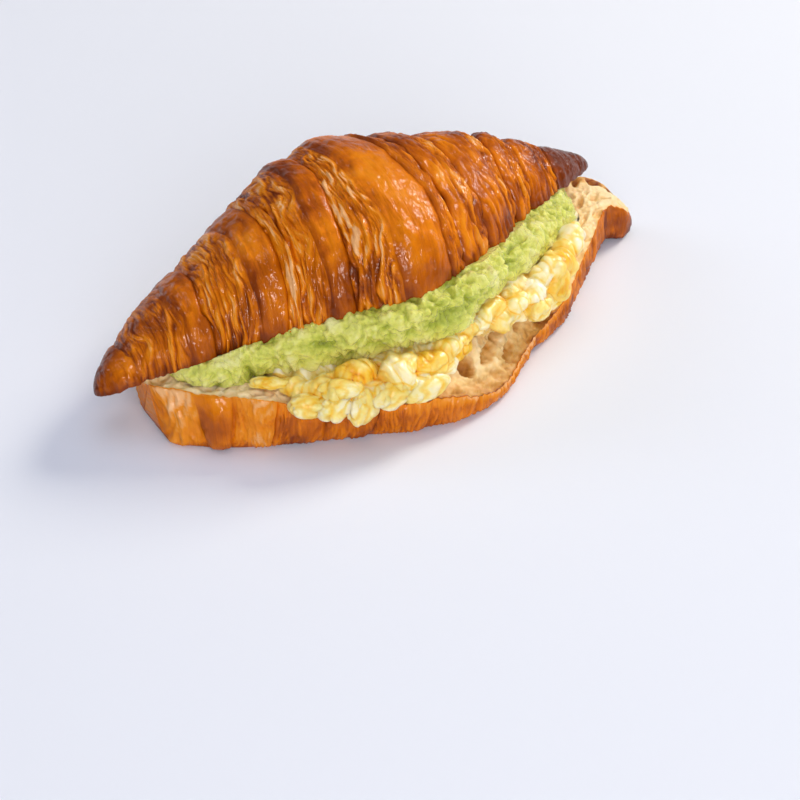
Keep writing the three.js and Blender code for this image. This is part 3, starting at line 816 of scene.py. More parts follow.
def base_shell(place, part, share):
    """Smooth surface of the bottom half: share runs up the front wall, back over the cut face, down
    the back wall and forward under it. The walls bulge as a quarter circle between the flat foot
    and the rim, and an arch lifts the right end off the board."""
    front, back, closing = base_section(place)
    arch = closing * BASE_ARCH[2] * np.exp(-((place - BASE_ARCH[0]) / BASE_ARCH[1]) ** 2)
    up = np.where(part == FRONT, share, 1 - share)
    quarter = up * math.pi / 2
    lean = closing * through(BASE_LEAN)(place)
    back_lean = closing * BASE_BACK_LEAN
    inset = closing * BASE_FOOT * (1 - np.sin(quarter))
    inset = inset + np.where(part == FRONT, lean * up ** 2, back_lean * ease(0.5, 1, up))
    rise = BASE_BELLY * (1 - np.cos(quarter)) + (1 - BASE_BELLY) * up
    wall_y = np.where(part == FRONT, front + inset, back - inset)
    wall_z = rise * cut_height(place, np.where(part == BACK, 1.0, 0.0)) + arch * (1 - up)
    cut_y = (front + lean) * (1 - share) + (back - back_lean) * share
    foot = closing * BASE_FOOT
    under_y = (back - foot) * (1 - share) + (front + foot) * share
    flat = [part == CUT_FACE, part == UNDER]
    y = np.select(flat, [cut_y, under_y], wall_y)
    z = np.select(flat, [cut_height(place, share), arch], wall_z)
    return np.stack([place + 0 * y, y, stand(place, z)], -1)


def crumb_holes(point, front_y):
    """Depth of the holes of a cut face: 1 - r^2, rounded, round random centres, and the larger
    bubbles as ellipses with steep sides."""
    depth = 0.0
    for stretch, size, seed, radius, deep, roundness, bare in CRUMB_HOLES:
        near, lot = cells(point * stretch, size, seed)
        depth = depth + deep * np.clip(1 - (near / radius) ** 2, 0, 1) ** roundness * (lot > bare)
    for place, inward, half_along, half_across, deep in BUBBLES:
        off = ((point[..., 0] - place) / half_along) ** 2
        off = off + ((point[..., 1] - front_y - inward) / half_across) ** 2
        depth = depth + deep * np.clip(1 - off, 0, 1) ** 0.35
    return depth


def base_bake(shell, part, share, up, inward, crumbly, holes, bake):
    """Bake marks of the bottom half. The walls are darker at the foot, which is painted shade, and paler
    under the rim. The cut face is cream, toasted along its rim and over the open front, with painted
    shade in its holes. The underside is dark where it lay on the tray."""
    place = shell[..., 0]
    # painted shade at the foot of the wall, most at the left end
    foot = (0.12 + 0.14 * ease(-44, -58, place)) * ease(0.4, 0.0, up)
    open_front = ease(-24, -10, place) * ease(46, 36, place)
    wall = bake + foot - (0.24 + 0.14 * open_front) * ease(0.72, 1.0, up)
    toasted = 0.4 - 0.36 * ease(0.0, 0.8, inward + 0.5 * crumbly)
    toasted = toasted + 0.68 * ease(-36, -26, place) * ease(44, 30, place) * ease(7, 1, inward)
    # the back rim of the right end is crust
    toasted = toasted + 0.8 * ease(60, 68, place) * ease(4.5, 1.5, inward) * (share > 0.5)
    cut = 0.12 - 0.10 * (ease(-20, -38, place) + ease(60, 68, place))
    # painted shade deep in the holes
    cut = cut + 0.6 * toasted + 0.17 * np.clip(holes - 0.6, 0, 3) + 0.2 * crumbly
    under = 0.72 - 0.46 * ease(0.5, 4, shell[..., 2])
    under = under + 0.1 * rough(place / 9, shell[..., 1] / 9, 0, 89, 3)
    return np.select([(part == FRONT) | (part == BACK), part == CUT_FACE], [wall, cut], under)


def build_bottom_half(settings, shift):
    """Grid of the bottom half: base_shell moved along its normals by the relief of the wraps and
    a few round folds on the walls, and down into the holes of the cut face. The rim is ragged and
    the underside stays flat."""
    counts = (WALL_POINTS, settings.base_cut, BACK_POINTS, UNDER_POINTS)
    part = np.repeat(np.arange(4), counts)[None]
    share = np.concatenate([np.arange(n) / n for n in counts])[None]
    # the cut face has its points close together at the open front
    share = np.where(part == CUT_FACE, 0.28 * share + 0.72 * share ** 2.8, share)
    positions = np.array([row[0] for row in BASE_WRAPS], float)
    density = [settings.base_fine if row[1] == CUT else settings.base_coarse for row in BASE_WRAPS]
    wrap, passed = wrap_columns(positions, density, BASE_POLE_GATHER)
    down = np.select([part == FRONT, part == CUT_FACE, part == BACK],
                     [1 - share, 0 * share, share], 1.0)
    edges = positions[:, :1] * (1 - down) + positions[:, 1:] * down
    wander = rough(down * 1.6, np.arange(len(positions))[:, None] * 3.3, (part == BACK) * 5.0, 81, 2)
    edges[1:-1] += BASE_WANDER * wander[1:-1]
    place = edges[wrap] * (1 - passed[:, None]) + edges[wrap + 1] * passed[:, None]
    place = np.clip(place, *BASE_ENDS)
    shell = base_shell(place, part + 0 * place, share + 0 * place)
    closing = base_section(place[:, :1])[2]
    soft = np.sqrt(closing)
    centre = shell.mean(1, keepdims=True) + [3, 0, 0] * (place[:, :1, None] < 0)
    normal = facing(outward(shell, True), shell - centre)
    around = running_length(shell)
    spec = wrap_spec([row[1:] for row in BASE_WRAPS[:-1]], positions)
    height, lean, bake, _ = relief_of_wraps(
        spec, wrap, passed, place, around, calm=0.8, blend=0.45, settings=settings)

    walls = (part == FRONT) | (part == BACK)
    up = 1 - down
    # walls keep still at the foot and fade a little at the rim
    hold = np.where(walls, ease(0, 0.25, up) * (1 - 0.35 * ease(0.85, 1, up)), 0.0)
    swollen = sum(high * np.exp(-((place - at) / wide) ** 2) for at, wide, high in BASE_BULGES)
    swollen = swollen * np.where(part == FRONT, 1.0, 0.4) * np.sin(math.pi * np.clip(up, 0, 1)) ** 0.6
    height = (height + swollen) * hold
    cut_y = shell[:, part[0] == CUT_FACE, 1]
    width = (cut_y.max(1) - cut_y.min(1))[:, None]
    inward = np.where(part == CUT_FACE, np.minimum(share, 1 - share), 0.0) * width
    holes = crumb_holes(shell, shell[:, WALL_POINTS, 1][:, None])
    crumbly = 0.35 * rough(*(shell[..., k] / 1.6 for k in range(3)), 97, 2)
    height = height + (part == CUT_FACE) * ease(0.2, 1.6, inward) * (0.1 + crumbly - holes)
    grid = shell + normal * (soft * height)[..., None]
    grid[..., 0] += soft * lean * hold
    rim_edge = ease(0.86, 1.0, np.where(part == FRONT, up, 0.0))
    rim_edge = rim_edge + (part == CUT_FACE) * ease(1.6, 0, inward)
    grid[..., 2] += soft * rim_edge * 0.8 * rough(place / 2.1, 0, (part == BACK) * 4.0, 99, 3)
    grid[..., 2] = np.maximum(grid[..., 2], 0.0)

    layers = np.where(walls, 0.55 * ease(-0.5, 0.4, noise(place / 11, up, 0, 87)), 0.0)
    bake = base_bake(shell, part, share, up, inward, crumbly, holes, bake)
    # the last ring point meets the first again over a step of 2 mm
    around = np.concatenate([around, around[:, -1:] + 2.0], 1)
    along = np.concatenate([place, place[:, :1]], 1)
    return grid + shift, {"bake": bake, "layers": layers}, along, around, part[0] == CUT_FACE


# ---------------------------------------------------------------- fillings

# Each filling's front and back lines, and the heights of its top and its foot at them
EGG = {
    "ends": (-56.5, 60.0),
    "front": ((-56.5, -30), (-45.5, -40), (-38, -45), (-30, -45.5), (-15, -46.5), (0, -41),
              (12.5, -39), (22.5, -38.5), (33, -35), (41, -28.5), (50, -19), (60, -10)),
    "back": ((-56.5, -9), (-27, 7.5), (0, 14.5), (27, 13), (60, 2)),
    "front_top": ((-56.5, 19), (-43.5, 20), (-32, 21), (-23.5, 24.5), (-9, 23.5), (4.5, 25.5),
                  (18, 26), (28, 23.5), (43.5, 22), (60, 21)),
    "back_top": 20.5,
    "front_foot": ((-56.5, 11), (-45.5, 8.5), (-36.5, 7), (-28, 8), (-18, 7.5), (0, 9), (18, 8.5),
                   (30, 7), (41, 7.5), (60, 11)),
    "back_foot": 12.0,
}
AVOCADO = {
    "ends": (-78.0, 58.5),
    "front": ((-78, -12), (-72, -18.5), (-63.5, -23.5), (-50, -27), (-36.5, -34.5), (-22.5, -40.5),
              (-7.5, -43.5), (7.5, -39), (18, -33.5), (32, -26), (43.5, -19.5), (52.5, -13.5),
              (62, -8)),
    "back": ((-78, -2), (-36.5, 11), (0, 18), (32, 16.5), (62, 5.5)),
    "front_top": ((-78, 20), (-63.5, 26), (-41, 32), (-13.5, 39), (0, 39), (25.5, 34.5),
                  (42, 29.5), (52, 25), (59, 20.5)),
    "back_top": 30.0,
    "front_foot": ((-78, 14.5), (-63.5, 13), (-43.5, 15), (-32, 17), (-23.5, 20), (-4.5, 20),
                   (7.5, 22), (18, 22), (32, 19.5), (45.5, 18), (60, 16)),
    "back_foot": 15.0,
}

# How the rings gather at a filling's ends, and its points in the open front
END_GATHER, FRONT_GATHER = 0.012, 0.62

# Curds in the open front: place, depth and height of the middle, then half the length, width
# and height, the turn of the long axis in degrees, and how much yolk it holds.
CURDS = (
    (-57.0, -29.5, 19.0, 5.5, 2.2, 1.6, -35, 0.3), (-52.0, -33.0, 17.0, 4.6, 3.6, 3.2, -30, 0.25),
    (-46.5, -38.0, 17.5, 5.2, 4.2, 4.2, -40, 0.1), (-37.8, -45.8, 13.4, 5.0, 3.2, 5.6, 10, 0.1),
    (-42.5, -42.0, 19.0, 5.8, 3.6, 3.0, -20, 0.1), (-33.5, -44.0, 16.0, 5.6, 3.6, 4.0, 0, 0.1),
    (-36.5, -40.0, 21.5, 5.8, 4.0, 2.8, -15, 0.35), (-25.5, -44.6, 20.4, 6.2, 5.2, 5.2, 10, 0.05),
    (-16.8, -45.6, 18.6, 5.4, 4.0, 4.6, 0, 0.35), (-23.0, -46.0, 15.2, 4.8, 3.0, 3.0, -10, 0.1),
    (-10.0, -43.6, 19.4, 5.0, 3.6, 3.8, 25, 0.2), (-11.0, -44.5, 15.0, 4.6, 3.0, 2.6, 20, 0.0),
    (-3.0, -40.2, 19.6, 5.4, 3.6, 3.6, 10, 0.3), (-4.0, -41.6, 15.6, 5.0, 3.0, 2.6, 25, 0.35),
    (3.5, -38.0, 19.4, 4.6, 3.6, 3.6, 25, 0.0), (8.5, -37.2, 22.0, 5.6, 3.4, 3.0, 30, 0.2),
    (12.5, -38.2, 17.6, 5.4, 3.6, 3.8, 35, 0.15), (17.0, -37.2, 20.8, 4.8, 3.6, 3.2, 30, 0.0),
    (24.5, -35.4, 20.0, 4.4, 3.6, 3.8, 50, -0.25), (24.5, -37.0, 15.6, 5.4, 3.6, 3.8, 35, 0.1),
    (33.8, -32.6, 16.8, 4.6, 4.0, 5.4, 40, 0.35), (34.0, -31.0, 23.6, 5.2, 4.2, 3.4, 45, 0.3),
    (39.5, -27.5, 19.6, 7.0, 5.0, 6.0, 50, 0.25), (45.5, -22.4, 22.4, 6.4, 4.6, 4.2, 55, 0.0),
    (29.0, -31.8, 22.6, 4.2, 3.4, 2.6, 35, 0.05), (50.5, -17.4, 20.6, 4.6, 3.4, 3.4, 55, 0.15),
    (-51.0, -39.6, 15.2, 5.6, 3.4, 3.8, -25, 0.1), (-44.5, -42.8, 14.6, 5.6, 3.4, 4.4, -15, 0.0),
    (-29.5, -47.2, 15.4, 6.4, 3.6, 4.4, -5, 0.05), (-20.0, -48.8, 14.2, 6.8, 3.4, 4.2, 0, 0.15),
)

# Numbers of the curds that hang over the rim, which make a piece of their own too
HANGING = (0, 3, 4, 19, 20, 26, 27, 28, 29)
# how sharply the bed and the curds blend
CURD_BLEND = 1.5


def pillow(shape, place, turn):
    """Smooth filling: round the section, cos(turn) to 0.75 goes across and sin(turn) to 0.6 up,
    between a foot line and a top line given at the front and at the back."""
    low, high = shape["ends"]
    front, back, front_top, front_foot = (
        through(shape[name])(place) for name in ("front", "back", "front_top", "front_foot"))
    inside = np.clip(np.minimum(place - low, high - place) / 8, 0, 1)
    closing = np.sqrt(1 - (1 - inside) ** 2)
    cos, sin = np.cos(turn), np.sin(turn)
    forward = closing * np.sign(cos) * np.abs(cos) ** 0.75
    slope = np.minimum(1, (1 - forward) * 0.58)
    top = front_top * (1 - slope) + shape["back_top"] * slope
    foot = front_foot * (1 - slope) + shape["back_foot"] * slope
    y = front + (back - front) / 2 * (1 - forward)
    up = closing * np.sign(sin) * np.abs(sin) ** 0.6
    return np.stack([place + 0 * y, y, (top + foot) / 2 + up * (top - foot) / 2], -1), closing


def between_halves(points, clear):
    """Keeps points a little over the cut face of the bottom half and, behind the top half's front
    edge, close under its cut. In front of that edge they may rise 0.3 mm for each mm, and then
    freely."""
    place = np.clip(points[..., 0], *BASE_ENDS)
    front, back, closing = base_section(place)
    lean = through(BASE_LEAN)(place)
    width = np.maximum(back - front - lean - BASE_BACK_LEAN, 0.1)
    across = (points[..., 1] - front - lean) / width
    over = (across > 0) & (across < 1) & (closing > 0.5)
    floor = np.where(over, stand(place, cut_height(place, np.clip(across, 0, 1))) + clear, -1e3)
    local = points - LID_AT
    for axis in (2, 1, 0):
        local = turned(local, [-LID_TURN[k] * (k == axis) for k in range(3)])
    share = np.clip(np.abs(local[..., 0]) / LID_HALF, 0, 1)
    reach = np.sqrt(1 - share ** 2) * through(LID_FRONT)(local[..., 0] / LID_HALF)
    edge = -reach + LID_BOW * (1 - share ** 2)
    ahead = np.clip(edge - local[..., 1], 0, 60)
    ceiling = lid_droop(local[..., 0]) * share ** 2 + 0.2
    ceiling = ceiling - through(LID_LIP)(local[..., 0]) * ease(-6, -1, local[..., 1] - edge)
    ceiling = ceiling + 0.30 * ahead + 30 * ease(9, 14, ahead)
    local[..., 2] = np.minimum(local[..., 2], ceiling)
    kept = turned(local, LID_TURN) + LID_AT
    kept[..., 2] = np.maximum(kept[..., 2], floor)
    return kept


def filling_grid(shape, settings):
    """Rings of a filling with most of their points in the open front, and pattern coordinates."""
    low, high = shape["ends"]
    columns, count = settings.columns, settings.around
    order = np.linspace(0, 1, columns)
    place = (low + (high - low) * (order - END_GATHER * np.sin(2 * math.pi * order)))[:, None]
    turn = np.arange(count) / count * 2 * math.pi
    turn = (turn - FRONT_GATHER * np.sin(turn))[None, :]
    grid, closing = pillow(shape, place, turn)
    grid[0] = grid[0].mean(0)
    grid[-1] = grid[-1].mean(0)
    return grid, facing(outward(grid, True), grid - grid.mean(1, keepdims=True)), closing


def finished_filling(grid, normal, closing, height, shift):
    """Moves a filling's points out by a height, keeps them between the halves, and gives the loft
    its pattern coordinates."""
    moved = between_halves(grid + normal * (closing * height)[..., None], 0.3)
    along = np.repeat(grid[:, :1, 0], grid.shape[1] + 1, 1)
    return moved + shift, along, running_length(grid, True), np.zeros(grid.shape[1])


def build_avocado(settings, shift):
    """The mash: its pillow with soft lumps, domes of 9.5, 4.6, 2.2 and 1.25 mm in bent space."""
    grid, normal, closing = filling_grid(AVOCADO, settings)
    x, y, z = (grid[..., k] for k in range(3))
    bend = [1.8 * rough(x / 10, y / 10, z / 10, 101 + k, 2) for k in range(3)]
    point = (x + bend[0], y + bend[1], z + bend[2])
    large, middle, small, grain = (
        domes(point, size, sharp, seed) for size, sharp, seed in
        ((9.5, 7.0, 103), (4.6, 8.0, 107), (2.2, 9.0, 109), (1.25, 9.0, 111)))
    height = 2.1 * large + 1.4 * middle + 1.3 * small + 0.7 * grain - 2.8
    # painted shade: deeper green in the hollows between lumps, paler on their tops
    hollow_shade = 0.58 - 0.24 * large - 0.24 * middle - 0.24 * small - 0.12 * grain
    moved, along, around, finish = finished_filling(grid, normal, closing, height, shift)
    return moved, {"hollow_shade": hollow_shade}, along, around, finish


def curd_reach(points, normal):
    """How far out along its normal each point of the bed meets the curds, and their yolk. For each
    ellipsoid that is the far root of the line's quadratic, carried on below it where the line
    misses. They blend as ln(sum exp(b h)) / b, b being CURD_BLEND, and in the creases between
    them the yolk mark rises as painted shade."""
    total, richness, most = 1e-3, 0.0, 1e-3
    for x, y, z, *half, degrees, yolk in CURDS:
        own = noise(points[..., 0] / 5, points[..., 1] / 5, points[..., 2] / 5 + x, 139)
        c, s = math.cos(math.radians(degrees)), math.sin(math.radians(degrees))
        frame_of_curd = np.array([[c, s, 0], [-s, c, 0], [0, 0, 1]]) / np.array(half)[:, None]
        off = (points - (x, y, z)) @ frame_of_curd.T
        way = normal @ frame_of_curd.T
        a, b = (way ** 2).sum(-1), (way * off).sum(-1)
        inside = b ** 2 - a * ((off ** 2).sum(-1) - (1 + 0.22 * own) ** 2)
        root = np.where(inside > 0, np.sqrt(np.abs(inside)), -2.5 * np.sqrt(np.abs(inside)))
        weight = np.exp(CURD_BLEND * np.clip((root - b) / a, -9, 7))
        total = total + weight
        richness = richness + weight * yolk
        most = np.maximum(most, weight)
    # painted shade: more yolk mark in the creases where curds meet
    yolk = richness / total + 0.45 * ease(0.2, 0.6, 1 - most / total)
    return np.log(total) / CURD_BLEND, yolk


def curd_grids(settings, shift):
    """Grids of the curds that hang over the rim: ellipsoids about their own long axis whose radius
    puffs out in folds, 0.86 + 0.22 of a billow + 0.06 of a finer one, turned about the vertical."""
    rings, count = settings.curd_rings, settings.curd_points
    tilt = (np.linspace(0, 1, rings) * math.pi)[None, :, None]
    turn = (np.arange(count) / count * 2 * math.pi)[None, None, :]
    way = np.stack(np.broadcast_arrays(np.cos(tilt), np.sin(tilt) * np.cos(turn),
                                       np.sin(tilt) * np.sin(turn)), -1)
    table = np.array([CURDS[k] for k in HANGING], float)[:, None, None, :]
    own = np.array(HANGING)[:, None, None] * 9.7
    x, y, z = (way[..., k] for k in range(3))
    folds = np.minimum(billow(1.1 * x + own, 1.1 * y, 1.1 * z, 141), 1.0)
    fine = billow(2.2 * x + own, 2.2 * y + folds, 2.2 * z, 143)
    radius = 0.86 + 0.22 * folds + 0.06 * fine
    body = way * table[..., 3:6] * radius[..., None]
    c, s = np.cos(np.radians(table[..., 6])), np.sin(np.radians(table[..., 6]))
    body = np.stack([c * body[..., 0] - s * body[..., 1], s * body[..., 0] + c * body[..., 1],
                     body[..., 2]], -1)
    body = body + table[..., :3]
    body = body + 0.12 * rough(*(body[..., k] / 2.2 for k in range(3)), 147, 2)[..., None]
    body = between_halves(body, 0.25) + shift
    # painted shade: deeper yellow in the creases of the folds, on top of the curd's own yolk
    yolk = table[..., 7] + 0.30 * ease(0.5, 0.05, folds) + 0.12 * ease(0.3, 0.05, fine)
    around = np.linspace(0, 20, count + 1)[None, :] + np.zeros((rings, 1))
    along = np.linspace(0, 12, rings)[:, None] + np.zeros((1, count + 1))
    return [(body[k], {"yolk": yolk[k]}, along, around, np.zeros(count))
            for k in range(len(HANGING))]


def build_egg(settings, shift):
    """The egg's pillow, whose points go out to the curds, with puffy folds, billows of 9, 4 and 2 mm
    in bent space, pressed into it."""
    grid, normal, closing = filling_grid(EGG, settings)
    reach, richness = curd_reach(grid, normal)
    x, y, z = (grid[..., k] for k in range(3))
    bend = [2.4 * rough(x / 12, y / 12, z / 12, 121 + k, 2) for k in range(3)]
    large, small, slim = (
        billow((x + bend[k]) / wide, (y + bend[k - 2]) / wide, (z + bend[k - 1]) / high, seed)
        for k, wide, high, seed in ((0, 9, 6, 127), (1, 4.2, 3.4, 129), (2, 2.2, 2.0, 133)))
    bed = 1.6 * np.minimum(large, 1.1) - 1.6
    height = np.exp(CURD_BLEND * bed) + np.exp(CURD_BLEND * (reach - 0.6))
    height = np.log(height) / CURD_BLEND
    height = height + 1.0 * np.minimum(large, 0.8) + 1.3 * np.minimum(small, 0.7) - 1.2
    height = height + 0.45 * np.minimum(slim, 0.6) + 0.08 * rough(x / 1.1, y / 1.1, z / 1.1, 131, 2)
    # painted shade: deeper yellow in the creases of the folds and billows
    yolk = richness + 0.2 * ease(0.4, 0.05, large) + 0.28 * ease(0.28, 0.02, small)
    yolk = yolk + 0.12 * ease(0.25, 0.02, slim)
    moved, along, around, finish = finished_filling(grid, normal, closing, height, shift)
    return moved, {"yolk": yolk}, along, around, finish


# ---------------------------------------------------------------- settings


def amount(name, description, default, **kind):
    """A number that the user may change, whole where its default is whole."""
    make = bpy.props.IntProperty if isinstance(default, int) else bpy.props.FloatProperty
    return make(name=name, description=description, default=default, **kind)


def colour(name, description, code):
    """A colour that the user may change, given as sRGB hex."""
    return bpy.props.FloatVectorProperty(name=name, description=description, subtype="COLOR",
                                         size=4, default=srgb(code))


class CrustSettings(bpy.types.PropertyGroup):
    step: amount("Wrap step", "Height of a wrap's cut edge", 1.6 * MM, unit="LENGTH")
    ridge: amount("Ridge", "Height of a layered ridge", 0.66 * MM, unit="LENGTH")
    fine: amount("Fine columns", "Columns of the top half for each mm of cut edge", 4.7)
    coarse: amount("Coarse columns", "Columns of the top half for each mm of skin", 3.2)
    around: amount("Crust points", "Points from the front edge to the back edge", 134)
    base_fine: amount("Base fine columns", "Columns of the bottom half for each mm of cut edge", 4.1)
    base_coarse: amount("Base coarse columns", "Columns of the bottom half for each mm of skin", 3.2)
    base_cut: amount("Cut face points", "Points across the cut face", 74)
    pale: colour("Pale dough", "Layers that stayed pale", "#F0B274")
    golden: colour("Golden", "Lightly baked crust", "#E98D1A")
    amber: colour("Amber", "Egg-washed crust", "#DC7806")
    deep: colour("Deep amber", "Well baked crust", "#B85A02")
    brown: colour("Brown", "Browned edges and grooves", "#853806")
    dark: colour("Dark brown", "Darkest tips", "#5A2308")
    crumb: colour("Crumb", "Inside of the pastry", "#F6DDAE")
    toast: colour("Toasted crumb", "Webs and edges of the crumb", "#CF9444")
    crumb_shade: colour("Crumb shade", "Buttery parts of the crumb", "#EBC27E")


class AvocadoSettings(bpy.types.PropertyGroup):
    columns: amount("Columns", "Rings along the filling", 560)
    around: amount("Points", "Points round each ring", 172)
    cream: colour("Cream", "Yellow flesh near the stone", "#F3EE9E")
    light: colour("Light green", "Most of the mash", "#E8E66C")
    green: colour("Green", "Greener lumps", "#BEC544")
    # the deep green is also painted shade in the hollows between lumps
    shade: colour("Deep green", "Flesh next to the skin", "#76821E")


class EggSettings(bpy.types.PropertyGroup):
    columns: amount("Columns", "Rings along the filling", 520)
    around: amount("Points", "Points round each ring", 170)
    curd_rings: amount("Curd rings", "Rings along each loose curd", 56)
    curd_points: amount("Curd points", "Points round each loose curd", 60)
    white: colour("White", "Set egg white", "#FFF2D2")
    pale: colour("Pale yellow", "Most of the curd", "#FBDC7E")
    yellow: colour("Yellow", "Yolk-rich curd", "#F8C238")
    yolk: colour("Yolk", "Streaks of yolk", "#EDA010")
    # the crease colour is painted shade in the folds between curds
    crease: colour("Crease", "Butter browned in the creases", "#C0760F")


class StageSettings(bpy.types.PropertyGroup):
    look_at: bpy.props.FloatVectorProperty(
        name="Look at", description="Point on the floor that the camera faces", unit="LENGTH",
        default=(-13.31 * MM, -28.82 * MM, 0.0))
    distance: amount("Distance", "From that point to the camera", 556.1 * MM, unit="LENGTH")
    azimuth: amount("Azimuth", "Angle of the camera round the sandwich", math.radians(-30),
                    subtype="ANGLE")
    elevation: amount("Elevation", "Angle of the camera over the floor", math.radians(39.14),
                      subtype="ANGLE")
    roll: amount("Roll", "Turn of the camera about its view", math.radians(-1.94), subtype="ANGLE")
    lens: amount("Lens", "Focal length for a 36 mm sensor", 90.0, unit="CAMERA")
    floor: colour("Floor", "Painted board under the food", "#E4E7F3")
    sky: colour("Sky", "Soft light from all round", "#E4E9FA")
    sky_strength: amount("Sky strength", "Strength of that light", 0.14)
    key_power: amount("Key power", "Power of the soft lamp on the right", 17.0, unit="POWER")
    glint_power: amount("Glint power", "Power of its cooler highlight on wet and washed skins", 38.0,
                        unit="POWER")
    panel_power: amount("Panel power", "Power of the panel at the back, which two highlights follow",
                        4.0, unit="POWER")
    fill_power: amount("Fill power", "Power of the front fill light, which the top one follows",
                       18.5, unit="POWER")


# ---------------------------------------------------------------- operators

# Soft round lamps: name, way to it from the food, diameter in metres, the setting that holds its
# power and its part of that, its tint, and whether it only lights surfaces (diffuse) or is only
# seen in their gloss (glossy)
LAMPS = (
    ("key", (0.80, 0.14, 0.60), 0.55, "key_power", 1.0, (1.0, 0.93, 0.74), "diffuse"),
    ("glint", (0.80, 0.14, 0.60), 0.5, "glint_power", 1.0, (0.90, 0.96, 1.0), "glossy"),
    ("back_panel", (-0.55, 0.70, 0.55), 0.7, "panel_power", 1.0, (0.86, 0.89, 1.0), "diffuse"),
    ("back_glint", (-0.45, 0.55, 0.75), 0.4, "panel_power", 0.8, (0.9, 0.9, 1.0), "glossy"),
    ("front_glint", (-0.45, -0.70, 0.55), 0.5, "panel_power", 4.5, (1.0, 0.93, 0.9), "glossy"),
    ("front_fill", (-0.28, -0.85, 0.46), 1.4, "fill_power", 1.0, (0.93, 0.95, 1.0), "diffuse"),
    ("top_fill", (0.05, 0.05, 1.0), 1.6, "fill_power", 1 / 2.4, (0.93, 0.95, 1.0), "diffuse"),
)
LAMP_DISTANCE, FLOOR_HALF = 1.6, 3.0


def frame_shift():
    """From the places in this file to the part's frame: the bottom half's left end and widest
    front line are where its CAD solid has them."""
    low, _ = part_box("croissant_base")
    place = np.linspace(*BASE_ENDS, 400)
    front = base_section(place)[0]
    return np.array([low.x / MM - BASE_CAD_LEFT, low.y / MM - front.min(), 0.0])


class CROISSANT_OT_bottom_half(bpy.types.Operator):
    """Make the bottom half of the croissant, with its crust wall and open crumb"""

    bl_idname = "croissant.bottom_half"
    bl_label = "Bottom half"

    def execute(self, context):
        settings = context.scene.croissant_crust
        piece = closed_loft("bottom_half", *build_bottom_half(settings, frame_shift()))
        settle(piece, "croissant_base", [baked_crust(settings), open_crumb(settings)])
        return {"FINISHED"}


class CROISSANT_OT_top_half(bpy.types.Operator):
    """Make the top half of the croissant, with its glossy wraps and layered edges"""

    bl_idname = "croissant.top_half"
    bl_label = "Top half"

    def execute(self, context):
        settings = context.scene.croissant_crust
        piece = closed_loft("top_half", *build_top_half(settings, frame_shift()))
        settle(piece, "croissant_top", [baked_crust(settings), open_crumb(settings)])
        return {"FINISHED"}


class CROISSANT_OT_scrambled_egg(bpy.types.Operator):
    """Make the scrambled egg on the bottom half"""

    bl_idname = "croissant.scrambled_egg"
    bl_label = "Scrambled egg"

    def execute(self, context):
        settings = context.scene.croissant_egg
        curd = soft_curd(settings)
        settle(closed_loft("egg_bed", *build_egg(settings, frame_shift())), "scrambled_egg", [curd])
        pieces = [closed_loft("curd", *grid) for grid in curd_grids(settings, frame_shift())]
        settle(joined("egg_curds", pieces), "scrambled_egg", [curd])
        return {"FINISHED"}


class CROISSANT_OT_mashed_avocado(bpy.types.Operator):
    """Make the mashed avocado under the top half"""

    bl_idname = "croissant.mashed_avocado"
    bl_label = "Mashed avocado"

    def execute(self, context):
        settings = context.scene.croissant_avocado
        piece = closed_loft("avocado_mash", *build_avocado(settings, frame_shift()))
        settle(piece, "mashed_avocado", [mashed_flesh(settings)])
        return {"FINISHED"}


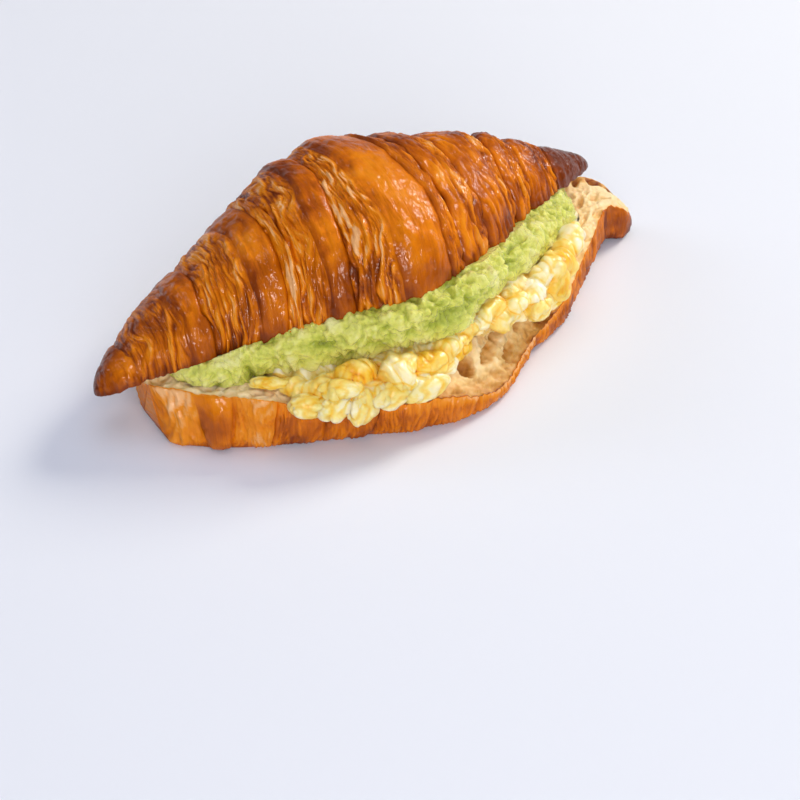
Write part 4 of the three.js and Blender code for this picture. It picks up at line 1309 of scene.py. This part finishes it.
class CROISSANT_OT_stage(bpy.types.Operator):
    """Make the pale floor, the soft lamps and the camera"""

    bl_idname = "croissant.stage"
    bl_label = "Stage"

    def execute(self, context):
        scene = context.scene
        settings = scene.croissant_stage
        mesh = bpy.data.meshes.new("floor")
        corners = [(x * FLOOR_HALF, y * FLOOR_HALF, 0)
                   for x, y in ((-1, -1), (1, -1), (1, 1), (-1, 1))]
        mesh.from_pydata(corners, [], [(0, 1, 2, 3)])
        floor = bpy.data.objects.new("floor", mesh)
        scene.collection.objects.link(floor)
        # a board painted with a roller: pale and even, with no gloss of its own
        mesh.materials.append(new_material("Matt painted board", {
            "Base Color": settings.floor, "Roughness": 0.8})[0])

        world = bpy.data.worlds.new("soft studio")
        world.use_nodes = True
        back = world.node_tree.nodes["Background"]
        back.inputs["Color"].default_value = settings.sky
        back.inputs["Strength"].default_value = settings.sky_strength
        scene.world = world
        scene.view_settings.view_transform = "Standard"

        target = Vector(settings.look_at)
        for name, toward, size, power, part, tint, lights in LAMPS:
            lamp = bpy.data.lights.new(name, "AREA")
            lamp.shape = "DISK"
            lamp.size = size
            lamp.energy = getattr(settings, power) * part
            lamp.color = tint
            light = bpy.data.objects.new(name, lamp)
            direction = Vector(toward).normalized()
            light.location = target + direction * LAMP_DISTANCE
            light.rotation_mode = "QUATERNION"
            light.rotation_quaternion = direction.to_track_quat("Z", "Y")
            light.visible_glossy = lights != "diffuse"
            light.visible_diffuse = lights != "glossy"
            scene.collection.objects.link(light)

        camera = bpy.data.objects.new("camera", bpy.data.cameras.new("camera"))
        camera.data.lens = settings.lens
        camera.data.sensor_width = 36.0
        camera.data.clip_end = 20.0
        a, e, r = settings.azimuth, settings.elevation, settings.roll
        back = Vector((math.sin(a) * math.cos(e), -math.cos(a) * math.cos(e), math.sin(e)))
        right = (-back).cross(Vector((0, 0, 1))).normalized()
        up = right.cross(-back)
        right, up = (math.cos(r) * right + math.sin(r) * up,
                     -math.sin(r) * right + math.cos(r) * up)
        turn = Matrix((right, up, back)).transposed().to_4x4()
        camera.matrix_world = Matrix.Translation(target + back * settings.distance) @ turn
        scene.collection.objects.link(camera)
        scene.camera = camera
        return {"FINISHED"}


class CROISSANT_PT_panel(bpy.types.Panel):
    """The pieces of the sandwich and its stage"""

    bl_idname = "CROISSANT_PT_panel"
    bl_label = "Croissant sandwich"
    bl_space_type = "VIEW_3D"
    bl_region_type = "UI"
    bl_category = "Croissant"

    def draw(self, context):
        for operator in OPERATORS:
            self.layout.operator(operator.bl_idname)
        for label, _ in SETTINGS:
            settings = getattr(context.scene, label)
            box = self.layout.box()
            for name in settings.__annotations__:
                box.prop(settings, name)


OPERATORS = (CROISSANT_OT_bottom_half, CROISSANT_OT_top_half, CROISSANT_OT_scrambled_egg,
             CROISSANT_OT_mashed_avocado, CROISSANT_OT_stage)
SETTINGS = (("croissant_crust", CrustSettings), ("croissant_avocado", AvocadoSettings),
            ("croissant_egg", EggSettings), ("croissant_stage", StageSettings))
CLASSES = tuple(kind for _, kind in SETTINGS) + OPERATORS + (CROISSANT_PT_panel,)


def register():
    """Adds the classes, and the settings to the scene."""
    for kind in CLASSES:
        bpy.utils.register_class(kind)
    for label, kind in SETTINGS:
        setattr(bpy.types.Scene, label, bpy.props.PointerProperty(type=kind))


def unregister():
    """Takes them away again."""
    for label, _ in SETTINGS:
        delattr(bpy.types.Scene, label)
    for kind in reversed(CLASSES):
        bpy.utils.unregister_class(kind)


def main():
    """Makes the stage and the pieces."""
    register()
    bpy.ops.croissant.stage()
    bpy.ops.croissant.bottom_half()
    bpy.ops.croissant.top_half()
    bpy.ops.croissant.scrambled_egg()
    bpy.ops.croissant.mashed_avocado()


if __name__ == "__main__":
    main()
